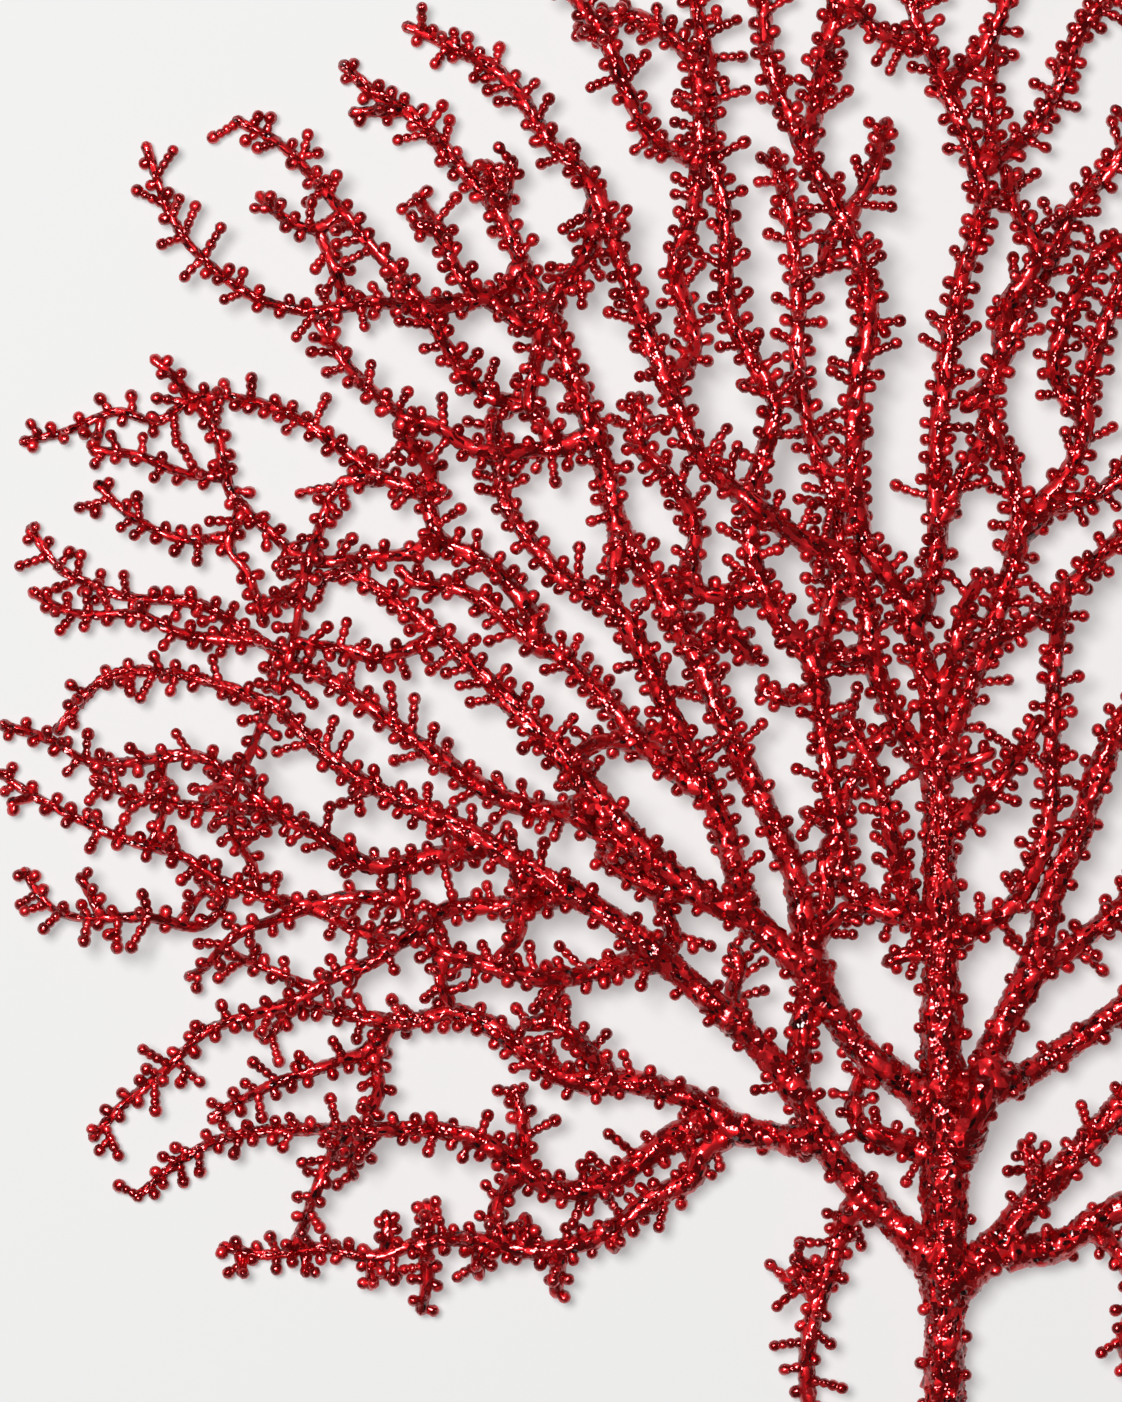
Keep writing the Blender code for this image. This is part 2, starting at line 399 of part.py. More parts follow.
def blend(start, height, along):
    """From the height of the branch it joins to its own, over the join's length."""
    share = np.clip(along / JOIN_LENGTH, 0, 1)
    share = share**2 * (3 - 2 * share)
    return start + (height - start) * share


def lay_all():
    laid = []
    by_name = {}
    for name, piece, parent, target, radii, points in BRANCHES:
        spine = lay_branch(name, piece, by_name.get(parent), by_name.get(target), radii,
                           points, laid)
        laid.append(spine)
        by_name[name] = spine
    return laid


def spine_points(spine):
    return np.column_stack([spine["route"], spine["height"]])


def needed_points(points, radius, first, last):
    """The indices between first and last that the shape needs, by halving at the point
    that strays furthest from a straight run (its radius counts as a fourth direction)."""
    shape = np.column_stack([points, radius])[first:last + 1]
    chord = shape[-1] - shape[0]
    share = np.linspace(0, 1, len(shape))[:, None]
    stray = np.linalg.norm(shape - shape[0] - share * chord, axis=1)
    worst = int(np.argmax(stray))
    if stray[worst] < SHAPE_TOLERANCE or last - first < 3:
        return [first]
    middle = first + worst
    return needed_points(points, radius, first, middle) + needed_points(
        points, radius, middle, last)


def tube_stations(spine):
    """Centre points and radii of a branch's sections, with a bead on an open tip."""
    points = spine_points(spine)
    last = len(points) - 1
    kept = needed_points(points, spine["radius"], 0, last) + [last]
    stations = [(points[k], spine["radius"][k]) for k in kept]
    if spine["name"] != "stem" and spine["open_tip"]:
        heading = points[-1] - points[-3]
        heading /= np.linalg.norm(heading)
        stations[-1] = (points[-1] - heading * BEAD_LENGTH, BEAD_RADIUS)
        stations.append((points[-1], TWIG_RADIUS))
    return stations


def tube(name, stations, sides, collection):
    """One closed mesh tube through the stations, from a bevelled poly curve."""
    curve = bpy.data.curves.new(name, "CURVE")
    curve.dimensions = "3D"
    curve.bevel_depth = MM
    curve.bevel_resolution = (sides - 4) // 2
    curve.use_fill_caps = True
    line = curve.splines.new("POLY")
    line.points.add(len(stations) - 1)
    for point, (place, radius) in zip(line.points, stations):
        point.co = (place[0] + FOOT[0], place[1] + FOOT[1], place[2], 1)
        point.radius = radius / MM
    drawn = bpy.data.objects.new(name, curve)
    collection.objects.link(drawn)
    graph = bpy.context.evaluated_depsgraph_get()
    mesh = bpy.data.meshes.new_from_object(drawn.evaluated_get(graph))
    cage = bmesh.new()
    cage.from_mesh(mesh)
    bmesh.ops.remove_doubles(cage, verts=cage.verts, dist=WELD_DISTANCE)
    bmesh.ops.recalc_face_normals(cage, faces=cage.faces)
    cage.to_mesh(mesh)
    cage.free()
    placed = drawn.matrix_world.copy()
    bpy.data.objects.remove(drawn)
    bpy.data.curves.remove(curve)
    solid = bpy.data.objects.new(name, mesh)
    solid.matrix_world = placed
    collection.objects.link(solid)
    return solid


def sides_of(spine):
    if spine["name"] == "stem":
        return STEM_SIDES
    return THICK_SIDES if spine["radius"].mean() > THICK_RADIUS else THIN_SIDES


def grow_twigs(spine, laid, grown):
    """Short beaded twigs on alternate sides, left out where another branch is too near."""
    draw = random.Random(spine["name"])
    points = spine_points(spine)
    side = draw.choice((-1, 1))
    at = draw.uniform(*FIRST_STEP) * TWIG_STEP
    while at < spine["along"][-1] - 2 * BEAD_LENGTH:
        k = int(np.searchsorted(spine["along"], at))
        heading = spine["route"][min(k + 1, len(points) - 1)] - spine["route"][k - 1]
        turn = math.atan2(heading[1], heading[0]) + side * math.radians(draw.uniform(*TWIG_ANGLE))
        length = draw.uniform(*TWIG_LENGTH) + spine["radius"][k]
        rise = draw.uniform(*TWIG_RISE)
        reach = np.array([math.cos(turn), math.sin(turn), rise]) * length
        side = -side
        at += draw.uniform(*NEXT_STEP) * TWIG_STEP
        tip = points[k] + reach
        near = any(too_near(points[k], tip, other, spine, k) for other in laid)
        if not near and all(np.linalg.norm(tip - other) > TWIG_LENGTH[1] for other in grown):
            grown.append(tip)
            yield ((points[k], TWIG_RADIUS), (tip - reach / length * BEAD_LENGTH, BEAD_RADIUS),
                   (tip, TWIG_RADIUS))


def too_near(base, tip, other, spine, at):
    """Whether the outer half of a twig comes close to a branch, its own left out near it."""
    points = spine_points(other)
    radius = other["radius"]
    if other is spine:
        away = np.abs(spine["along"] - spine["along"][at]) > 2 * TWIG_LENGTH[1]
        points, radius = points[away], radius[away]
    if not len(points):
        return False
    for share in CLEAR_AT:
        apart = np.linalg.norm(points - (base + (tip - base) * share), axis=1)
        if (apart - radius).min() < BEAD_RADIUS + TWIG_CLEAR:
            return True
    return False


def runs_into(spine, other):
    apart = np.linalg.norm(spine_points(spine)[:, None] - spine_points(other)[None], axis=2)
    clear = apart - spine["radius"][:, None] - other["radius"][None]
    return clear.min() < JOINT_GAP + SHAPE_TOLERANCE


def joint_cutter(name, other, collection):
    """A copy of the other branch, fatter and longer by the gap at a joint."""
    sides = sides_of(other)
    gap = JOINT_GAP / math.cos(math.pi / sides)
    stations = [(place, radius + gap) for place, radius in tube_stations(other)]
    heading = stations[-1][0] - stations[-2][0]
    tip, radius = stations[-1]
    stations[-1] = (tip + heading * JOINT_GAP / np.linalg.norm(heading), radius)
    return tube(name, stations, sides, collection)


def add_boolean(body, operation, collection):
    cut = body.modifiers.new(operation.lower(), "BOOLEAN")
    cut.operation = operation
    cut.solver = "EXACT"
    cut.operand_type = "COLLECTION"
    cut.collection = collection


def coral_material():
    material = bpy.data.materials.new("coral_red")
    material.use_nodes = True
    shader = material.node_tree.nodes["Principled BSDF"]
    shader.inputs["Base Color"].default_value = CORAL_RED
    shader.inputs["Metallic"].default_value = CORAL_METALLIC
    shader.inputs["Roughness"].default_value = CORAL_ROUGHNESS
    material.diffuse_color = CORAL_RED
    return material


def build_piece(piece, laid, grown, parts, helpers):
    """One piece: its first branch, the rest of it fused on, and its joints cut clear."""
    own = [spine for spine in laid if spine["piece"] == piece]
    body = tube(piece, tube_stations(own[0]), sides_of(own[0]), parts)
    joined = new_collection(piece + "_joined", helpers)
    cutters = new_collection(piece + "_cutters", helpers)
    near = {}
    for spine in own[1:]:
        tube(spine["name"] + "_side", tube_stations(spine), sides_of(spine), joined)
    for spine in own:
        for number, stations in enumerate(grow_twigs(spine, laid, grown)):
            tube(f"{spine['name']}_twig{number}", stations, THIN_SIDES, joined)
        for other in laid[:laid.index(spine)]:
            if other["piece"] != piece and runs_into(spine, other):
                near.setdefault(other["name"], other)
    for name, other in near.items():
        joint_cutter(f"{piece}_off_{name}", other, cutters)
    for helper in list(joined.objects) + list(cutters.objects):
        helper.hide_render = True
        helper.display_type = "WIRE"
    return body, joined, cutters


def main():
    clear_scene()
    scene = bpy.context.scene.collection
    parts = new_collection("red_coral_branch", scene)
    helpers = new_collection("cutters", scene)
    helpers.hide_render = True
    material = coral_material()
    laid = lay_all()
    grown = []
    pieces = [build_piece(piece, laid, grown, parts, helpers)
              for piece in dict.fromkeys(spine["piece"] for spine in laid)]
    for body, joined, cutters in pieces:
        if len(joined.objects):
            add_boolean(body, "UNION", joined)
        if len(cutters.objects):
            add_boolean(body, "DIFFERENCE", cutters)
        body.data.materials.append(material)
        body.data.shade_smooth()
        body.data.set_sharp_from_angle(angle=math.radians(SHARP_ANGLE))


main()
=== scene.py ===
# A red coral branch, cut off at the foot of its stem and lying on its back, seen from above.
# Each solid of the frame is replaced by a piece that follows the same centre lines, with
# the coral's crinkled skin, flared joints and strings of small beads.

import json
import math
import random

import bpy
import numpy as np
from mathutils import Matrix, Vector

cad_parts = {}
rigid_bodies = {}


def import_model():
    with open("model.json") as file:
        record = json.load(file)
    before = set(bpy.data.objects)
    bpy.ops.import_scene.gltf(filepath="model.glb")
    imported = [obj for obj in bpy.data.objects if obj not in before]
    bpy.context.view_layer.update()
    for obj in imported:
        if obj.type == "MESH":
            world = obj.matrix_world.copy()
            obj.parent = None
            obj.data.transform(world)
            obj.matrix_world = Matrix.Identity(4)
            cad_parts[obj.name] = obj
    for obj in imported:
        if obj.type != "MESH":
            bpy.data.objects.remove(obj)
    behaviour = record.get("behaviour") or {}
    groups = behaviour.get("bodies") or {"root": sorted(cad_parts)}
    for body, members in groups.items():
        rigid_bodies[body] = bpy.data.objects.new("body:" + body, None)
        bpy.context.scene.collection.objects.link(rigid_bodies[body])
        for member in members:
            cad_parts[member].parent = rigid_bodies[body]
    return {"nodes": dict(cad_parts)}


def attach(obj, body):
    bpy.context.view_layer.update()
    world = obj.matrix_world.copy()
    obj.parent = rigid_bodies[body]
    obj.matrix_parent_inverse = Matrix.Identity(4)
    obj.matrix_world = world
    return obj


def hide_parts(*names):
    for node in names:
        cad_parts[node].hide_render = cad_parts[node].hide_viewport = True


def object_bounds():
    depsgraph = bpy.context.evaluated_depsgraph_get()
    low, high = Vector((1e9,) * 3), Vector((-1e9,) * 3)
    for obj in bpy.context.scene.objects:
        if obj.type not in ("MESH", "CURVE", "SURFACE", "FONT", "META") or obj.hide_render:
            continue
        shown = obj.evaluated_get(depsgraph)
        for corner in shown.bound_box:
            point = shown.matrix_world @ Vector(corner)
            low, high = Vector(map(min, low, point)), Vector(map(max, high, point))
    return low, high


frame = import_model()
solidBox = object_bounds()

mm = 0.001
foot = np.array((0.0032, -0.1724, 0))    # where the foot of the stem stands in the frame
solidTop = solidBox[1][2] + 0.4 * mm     # no bead stands higher

# How the fan lies, and the twigs of its solids: the same values as the solids have. Angles
# are in degrees, and shares without a unit.
fan = {
    "archRise": 6.0 * mm, "archMiddle": (-0.0025, 0.165), "archHalf": (0.178, 0.165),
    "swayMost": 8.0 * mm, "curveSamples": 24, "sampleStep": 1.5 * mm, "leastSteps": 4,
    "joinLength": 13.0 * mm, "climbSlope": 0.55, "passingGap": 1.3 * mm, "rootShare": 0.62,
    "beadRadius": 1.3 * mm, "beadLength": 1.3 * mm,
}
solidTwig = {
    "step": 70.0 * mm, "firstStep": (0.4, 0.8), "nextStep": (0.8, 1.2),
    "length": (4.6 * mm, 7.2 * mm), "angle": (52.0, 78.0), "rise": (0.05, 0.35),
    "clear": 0.8 * mm, "clearAt": (0.4, 0.6, 0.8, 1.0),
}

# Each branch: its name, the branch that it grows from, the branch that it grows into, its
# radii from root to tip, and the points that it passes, to the right and up from the foot
# of the stem, all in millimetres. The solids are laid along the same ones.
branchTable = (
    ("stem", "", "", (3.8, 3.8, 4.1, 4.3, 4.2, 3.8, 3.2, 2.6),
     ((0, 0), (0, 20), (0.1, 45), (0, 60), (-0.5, 80), (-0.8, 100), (-1, 125), (-2, 148))),

    # The left side, from the lowest limb up
    ("low_left_limb", "stem", "", (2.8, 2.2, 1.7, 1.2, 0.9),
     ((-3, 47), (-11, 56), (-22, 68), (-29, 80.5), (-38, 91.7), (-46.5, 99.5), (-60, 111.5),
      (-68, 117.5), (-80, 124.5), (-90, 130.5), (-101, 136.5), (-114, 142.5), (-124, 149),
      (-133, 158), (-139, 160.5), (-148, 164), (-161, 165.8), (-168, 164.5), (-174, 159),
      (-178.5, 153))),
    ("low_left_twig", "low_left_limb", "", (1.0, 0.9),
     ((-40, 94), (-42.5, 101), (-41, 107), (-43, 111.5))),
    ("low_left_branch", "low_left_limb", "", (2.1, 1.7, 1.3, 0.9),
     ((-25, 71.5), (-33.5, 72.5), (-42.5, 74.5), (-49, 79.5), (-63, 83.5), (-73, 83.5), (-81, 87),
      (-89, 93.5), (-98, 97.5), (-109, 95.3), (-119, 97), (-129, 98.5), (-134, 94), (-137.3, 91.1))),
    ("low_left_rise", "low_left_branch", "", (1.1, 0.9),
     ((-67, 83.5), (-70, 88), (-73, 92), (-78, 96.5), (-77, 103.5))),
    ("low_left_tail", "low_left_branch", "", (1.3, 0.9),
     ((-112, 95.5), (-114, 90.5), (-124, 86.7), (-134, 83.2), (-144, 78), (-147.7, 75))),
    ("low_left_drop", "low_left_tail", "", (1.1, 0.9),
     ((-113.5, 90), (-113.2, 81.5), (-116.5, 74.5), (-119, 67), (-118, 63.5))),
    ("bottom_left_branch", "low_left_branch", "", (1.8, 1.4, 1.1, 0.9),
     ((-46, 76.5), (-53.5, 73), (-60.5, 68), (-69, 63), (-77, 62), (-84.5, 66), (-92, 71.5),
      (-100.5, 74), (-110.5, 74.3), (-129, 74), (-142.5, 72.5), (-152, 68.3), (-162.8, 59.5))),
    ("bottom_left_spray", "low_left_branch", "", (1.6, 1.2, 0.9),
     ((-42.5, 74.5), (-48.5, 69.5), (-50.5, 64), (-58, 60.5), (-65, 55), (-74, 51), (-83, 49.8),
      (-93, 51.8), (-103, 51.8), (-115, 48.3), (-125, 50), (-135, 48.5), (-145.7, 50.3))),
    ("bottom_left_drop", "bottom_left_branch", "bottom_left_spray", (1.1, 1.0),
     ((-119, 74), (-122.5, 69.5), (-126, 61.5), (-129, 53), (-131, 49.5))),
    ("bottom_left_link", "bottom_left_spray", "bottom_left_branch", (1.0, 1.0),
     ((-88, 51), (-90, 58), (-86, 64), (-85, 66))),
    ("bottom_left_rise", "bottom_left_branch", "", (1.0, 0.9),
     ((-84.5, 66), (-84.5, 76), (-86.5, 83))),
    ("bottom_left_fringe", "bottom_left_spray", "", (1.0, 0.9),
     ((-104, 51.5), (-103.5, 45), (-105, 36.5))),
    ("hanging_branch", "low_left_limb", "", (1.4, 1.1, 0.9),
     ((-15, 61.5), (-19.5, 56.5), (-22, 49), (-25, 40), (-27.3, 31), (-27.5, 22.5), (-26, 13))),
    ("hanging_side", "hanging_branch", "", (0.9, 0.9), ((-25, 40), (-29, 44.5), (-33, 43.5))),
    ("small_left_branch", "stem", "", (1.5, 0.9),
     ((-4, 68), (-13, 73), (-17, 73.8), (-18, 80.5), (-16, 86))),
    ("left_edge_branch", "low_left_limb", "", (1.7, 1.4, 1.1, 0.9),
     ((-92, 131.5), (-101, 128.8), (-115, 127), (-125.5, 133.5), (-133, 137), (-143, 145),
      (-150, 149), (-164, 147.5), (-172.5, 148), (-179, 152), (-190, 155.3))),
    ("left_edge_side", "left_edge_branch", "", (1.0, 0.9),
     ((-133, 137), (-146, 138.5), (-157, 139.5), (-166, 142), (-171.3, 144.5))),
    ("left_bow", "low_left_limb", "left_edge_branch", (1.5, 1.2, 1.1),
     ((-57, 108.5), (-63, 107.8), (-71, 105.3), (-80, 104.5), (-88, 106), (-96, 108.5),
      (-103, 110.5), (-107, 116.5), (-108.5, 124), (-107, 127.5))),
    ("left_bow_drop", "left_bow", "", (1.0, 0.9), ((-101, 110), (-101, 104), (-98.5, 98.7))),
    ("left_diagonal", "low_left_limb", "", (1.5, 1.2, 1.0, 0.9),
     ((-76, 122), (-84, 119), (-98, 118.5), (-104, 115), (-114, 108), (-122.5, 104.5),
      (-130, 100), (-140, 96.5), (-148, 93.5), (-157, 85), (-165, 78.5), (-171.5, 71.3))),
    ("left_diagonal_side", "left_diagonal", "", (1.0, 0.9),
     ((-126.5, 102.5), (-134, 105.5), (-144.5, 109.5))),
    ("left_middle_branch", "left_bow", "", (1.4, 1.2, 1.0, 0.9),
     ((-108, 119.7), (-119, 120.5), (-129, 118.8), (-140, 122), (-147.5, 125), (-153, 129),
      (-164, 132), (-175.5, 137), (-186, 142.7), (-190, 146))),
    ("left_middle_side", "left_middle_branch", "", (1.0, 0.9),
     ((-128, 119), (-134, 116), (-142, 113), (-148, 106.5), (-152.5, 104))),
    ("left_middle_back", "left_middle_branch", "", (1.0, 0.9),
     ((-127.5, 118.5), (-120, 115), (-113, 112.5), (-109, 112))),
    ("left_middle_stay", "left_edge_branch", "left_middle_branch", (0.9, 0.9),
     ((-157, 148), (-156.5, 140), (-157.5, 134), (-159, 130.5))),
    ("left_middle_twig", "left_middle_branch", "", (1.1, 1.0, 0.9),
     ((-145, 123.5), (-145, 118), (-150, 114.5), (-159, 116.5), (-174, 116.5), (-180.5, 119.5),
      (-185.1, 126.4))),
    ("left_cross", "low_left_limb", "left_middle_branch", (1.0, 0.9),
     ((-135.5, 159), (-138, 151.5), (-141.5, 143), (-142.5, 133.5), (-139, 128), (-138, 122))),
    ("middle_left_limb", "stem", "", (3.1, 2.5, 1.9, 1.3, 0.9),
     ((-3, 79), (-15, 88.5), (-22, 97), (-28, 105.5), (-39, 116.3), (-47, 120), (-57, 127),
      (-66, 136.5), (-73.5, 145), (-82, 154.5), (-92, 164.5), (-103, 174.5), (-113, 181.7),
      (-120, 185.5), (-127, 183.5))),
    ("limb_link", "low_left_limb", "middle_left_limb", (1.4, 1.2, 1.4),
     ((-29.5, 82), (-29, 91.5), (-28, 99), (-26, 103))),
    ("middle_left_low", "middle_left_limb", "", (1.2, 0.9),
     ((-50, 122), (-58, 122.5), (-65, 126.5), (-70, 129.5))),
    ("middle_left_drop", "middle_left_low", "", (1.0, 0.9),
     ((-56.5, 122), (-55.5, 116), (-53, 110.5))),
    ("far_left_branch", "middle_left_limb", "", (1.7, 1.4, 1.1, 0.9),
     ((-69, 139.5), (-78, 137.5), (-89, 140.5), (-99.5, 147), (-110, 155), (-119, 161.5),
      (-129, 167), (-139, 173), (-150, 179.5), (-162, 180.3), (-173, 183.8), (-179, 188),
      (-183.9, 195.3))),
    ("far_left_spray", "far_left_branch", "", (1.1, 0.9),
     ((-138, 172.3), (-146, 172.3), (-154, 173.5), (-161, 177), (-170, 177), (-176.5, 178),
      (-183.9, 182.3))),
    ("inner_left_limb", "middle_left_limb", "", (1.8, 1.5, 1.2, 0.9),
     ((-39, 117), (-42, 126), (-44.5, 134.5), (-49.5, 146), (-55.5, 158), (-60.3, 169),
      (-66.5, 178.5), (-75.5, 184), (-81, 189.5), (-88, 199.5), (-89.3, 209.5), (-90.5, 219))),
    ("inner_left_branch", "inner_left_limb", "", (1.4, 1.2, 0.9),
     ((-47.5, 141.5), (-58, 149), (-65.5, 157.5), (-75, 167.2), (-84, 172.5), (-91.5, 179),
      (-98, 182.5), (-106, 183.5), (-110, 187))),
    ("inner_left_side", "inner_left_branch", "", (1.0, 0.9),
     ((-61, 152), (-70, 151.5), (-75, 147))),
    ("arch_branch", "inner_left_branch", "", (1.4, 1.2, 1.0, 0.9),
     ((-82.5, 171), (-84, 179.5), (-92.5, 188), (-101.3, 192.5), (-104, 200.8), (-112, 204.5),
      (-121, 210.5), (-130, 216.8), (-141, 220.5), (-150.5, 220.5), (-158, 215.8), (-166, 218),
      (-176, 214), (-185.8, 211.7))),
    ("arch_spur", "arch_branch", "", (0.9, 0.9), ((-150.5, 220.5), (-154, 224.5), (-159, 229))),
    ("arch_drop", "arch_branch", "arch_branch", (1.2, 1.0, 1.1),
     ((-149, 220), (-145.8, 213), (-143, 201.5), (-135.5, 194), (-127, 187.8), (-115, 188.8),
      (-107, 189.3), (-101.5, 192))),
    ("arch_left_side", "arch_drop", "", (1.0, 0.9),
     ((-143.8, 205), (-152, 205.3), (-161.5, 209), (-171.8, 210.3))),
    ("arch_low_side", "arch_drop", "", (1.1, 0.9),
     ((-141.5, 198), (-143.5, 191), (-139.5, 185), (-136, 174.5))),
    ("arch_low_tip", "arch_low_side", "", (1.0, 0.9),
     ((-143.3, 192), (-153, 192.3), (-163, 196.8), (-170.5, 204))),
    ("left_upright", "arch_branch", "", (1.1, 0.9),
     ((-112, 205), (-121.5, 203), (-125.8, 192), (-128.5, 183.5), (-130, 173.5), (-133, 161))),
    ("left_upright_side", "left_upright", "middle_left_limb", (1.0, 1.0),
     ((-130, 172), (-122, 170.5), (-112, 168.3), (-102, 172.5))),
    ("upper_left_limb", "middle_left_limb", "", (2.0, 1.7, 1.5, 1.2, 0.9),
     ((-24, 100.5), (-27.5, 112), (-30, 125), (-35.5, 137.5), (-42, 150.5), (-48, 164),
      (-56, 180), (-65, 194), (-69, 210), (-76, 228.5), (-83, 244), (-89.5, 258), (-98.5, 268.5),
      (-106, 277), (-114.5, 282), (-121.3, 288.4))),
    ("upper_left_side", "upper_left_limb", "", (1.2, 1.0),
     ((-70, 213), (-79, 210.3), (-93, 209.5), (-102, 215), (-108, 216.5), (-117.5, 224.5),
      (-122.5, 231.3), (-126, 237))),
    ("upper_left_drop", "upper_left_side", "arch_branch", (1.1, 1.1),
     ((-108.3, 216.5), (-108, 212), (-103, 206.5), (-103.5, 200.5))),
    ("upper_left_branch", "upper_left_side", "", (1.2, 1.0, 0.9),
     ((-78, 211), (-84, 219), (-92, 221), (-99, 229.5), (-107, 242.5), (-115, 251), (-125, 263),
      (-133, 271.5), (-142.9, 276.9))),
    ("upper_left_twig", "upper_left_branch", "", (1.0, 0.9),
     ((-120, 257), (-126.5, 254), (-133, 257), (-137.9, 261.9))),
    ("upper_left_arm", "upper_left_branch", "", (1.1, 1.0, 0.9),
     ((-104, 238), (-114, 239.8), (-126.5, 237.8), (-137.5, 240.3), (-147, 247), (-154.5, 256),
      (-160.5, 272.3))),
    ("upper_left_stay", "upper_left_twig", "upper_left_arm", (1.0, 1.0),
     ((-125.5, 253.7), (-122, 246), (-120.4, 239))),
    ("upper_left_link", "upper_left_limb", "", (1.1, 0.9),
     ((-85, 248), (-87.5, 242.5), (-93, 240.7), (-97, 245), (-101.5, 254.5), (-106.3, 261.8))),
    ("upper_left_bridge", "upper_left_link", "upper_left_branch", (1.0, 1.0),
     ((-92.5, 240.5), (-98, 239.2), (-105, 238.5))),
    ("inner_upright", "stem", "", (1.6, 1.4, 1.2, 1.0, 0.9),
     ((-4, 116.5), (-12, 118), (-18.8, 121.5), (-21.3, 133.5), (-24, 150), (-26.5, 167),
      (-34, 177), (-38.5, 188.5), (-38.5, 202), (-34, 218), (-38, 226.5), (-43.5, 238.5),
      (-44, 256.5), (-47, 270), (-47.5, 287.5), (-52, 309), (-57, 326))),
    ("inner_upright_side", "inner_upright", "", (0.9, 0.9),
     ((-25.5, 161), (-32, 160.5), (-38, 162.5))),
    ("inner_strand", "inner_upright", "", (1.2, 0.9),
     ((-7.5, 117.5), (-8.5, 124), (-10, 130), (-13, 142), (-17, 151.5), (-21, 158))),
    ("inner_strand_side", "inner_strand", "", (0.9, 0.9),
     ((-15.5, 149), (-19, 143), (-20.5, 138.5))),
    ("thin_strand", "inner_upright", "", (1.1, 0.9),
     ((-26.5, 166.5), (-22.5, 180), (-21.5, 197), (-26.5, 212), (-29.3, 227), (-29.3, 241),
      (-30.8, 256.5), (-34.5, 271))),

    # The crown, where the stem parts at its top
    ("crown_left", "stem", "", (1.6, 1.4, 1.3, 1.1, 0.9),
     ((-3, 145), (-8, 153.5), (-14.5, 167.5), (-16, 180), (-21, 189), (-28, 191.5), (-38, 198.5),
      (-48.5, 208), (-55, 221.5), (-60.5, 235.5), (-66.5, 252), (-71.5, 264.5), (-79, 271.5),
      (-87.5, 284.5), (-98, 290.8), (-108.8, 295.8))),
    ("strand_link", "crown_left", "thin_strand", (0.9, 0.9),
     ((-15, 169.5), (-20, 168.5), (-25, 171))),
    ("crown_left_spur", "crown_left", "", (1.1, 0.9),
     ((-70, 261), (-71, 250), (-79, 238.5), (-82.3, 225), (-83.5, 217))),
    ("crown_left_link", "inner_upright", "upper_left_limb", (1.1, 1.0),
     ((-37, 181.5), (-46.5, 181), (-53, 184), (-57, 182.5))),
    ("crown_left_drop", "crown_left_link", "", (0.9, 0.9),
     ((-45, 181), (-44.5, 174.5), (-49, 169.5))),
    ("crown_left_rise", "crown_left_link", "", (1.0, 0.9),
     ((-51, 183.5), (-50, 194.5), (-55, 204.5), (-61, 211), (-61, 222))),
    ("top_left_strand", "crown_left", "", (1.2, 1.0, 0.9),
     ((-55.5, 223), (-50, 231), (-54, 246), (-50.5, 257.5), (-49, 278), (-51.5, 289.5),
      (-63, 297.5), (-74.5, 294.8))),
    ("top_left_fork", "top_left_strand", "", (1.0, 0.9),
     ((-49.5, 267.5), (-58, 272), (-64, 282.5), (-69, 294), (-79, 307), (-83, 315), (-84, 323))),
    ("crown_middle", "stem", "", (1.7, 1.5, 1.3, 1.1, 0.9),
     ((-2, 149), (-3.5, 164), (-8.5, 179.5), (-17, 194), (-18.3, 211), (-17.3, 226.5),
      (-15.5, 239), (-20.5, 255.5), (-28, 269.5), (-35, 287), (-37, 309), (-42, 326), (-40, 334))),
    ("crown_middle_twig", "crown_middle", "", (0.9, 0.9),
     ((-20.5, 256), (-15, 264), (-11.3, 276.7))),
    ("crown_middle_fork", "crown_middle", "", (1.1, 0.9),
     ((-28, 270), (-26, 277.5), (-23.8, 290), (-22, 300), (-22, 318), (-20, 336))),
    ("crown_inner", "crown_middle", "", (1.3, 1.2, 1.0, 0.9),
     ((-6, 175), (-1.5, 189), (-2, 205), (0.3, 228), (3.5, 245), (7.5, 258), (5.5, 269),
      (-0.5, 284), (-6, 298), (-5, 309), (-7, 318), (-4, 327), (-5, 345))),
    ("crown_inner_side", "crown_inner", "", (0.9, 0.9), ((-1, 195.5), (3, 204), (9, 214))),
    ("crown_inner_link", "crown_inner", "crown_middle_fork", (0.9, 0.9),
     ((-4.5, 291), (-11.5, 292.5), (-17, 297), (-22, 300))),
    ("crown_inner_fork", "crown_inner", "", (1.1, 0.9),
     ((7, 266), (16.5, 273), (23, 282.5), (27.5, 294.5), (38, 307), (43, 323), (47, 332))),
    ("crown_inner_twig", "crown_inner", "", (1.0, 0.9),
     ((0.5, 282), (8.5, 291.5), (12, 300), (12, 318), (15, 335))),
    ("crown_right", "stem", "", (1.6, 1.4, 1.2, 1.0, 0.9),
     ((0, 147), (4, 160.5), (9.5, 175), (14.5, 191.5), (13.5, 204.5), (8.5, 218), (13.5, 233),
      (21, 247.5), (26, 258.5), (34.5, 268), (44, 285), (53, 302), (61, 318), (65, 326))),
    ("crown_right_back", "crown_right", "", (1.1, 0.9),
     ((10.5, 229), (12, 238), (18.3, 248.5), (14, 258.5), (12, 267))),
    ("crown_right_fork", "crown_right", "", (1.3, 1.0, 0.9),
     ((14.5, 191), (20, 199.5), (27, 210), (28.5, 224), (34, 240), (42, 257), (56, 272),
      (65, 289), (78, 304))),
    ("crown_right_loop", "crown_right_fork", "", (1.0, 0.9),
     ((28, 217), (22, 225), (24, 236), (31, 249), (37, 252))),
    ("crown_right_side", "crown_right_fork", "", (1.1, 0.9),
     ((19.5, 199), (28, 200), (35, 204.5), (43, 212), (46, 224), (50, 238))),
    ("crown_right_low", "crown_right", "", (1.2, 0.9),
     ((8, 171), (17.5, 176), (26, 184), (34, 191.5), (41, 198))),

    # The right side, which the picture shows only near the stem
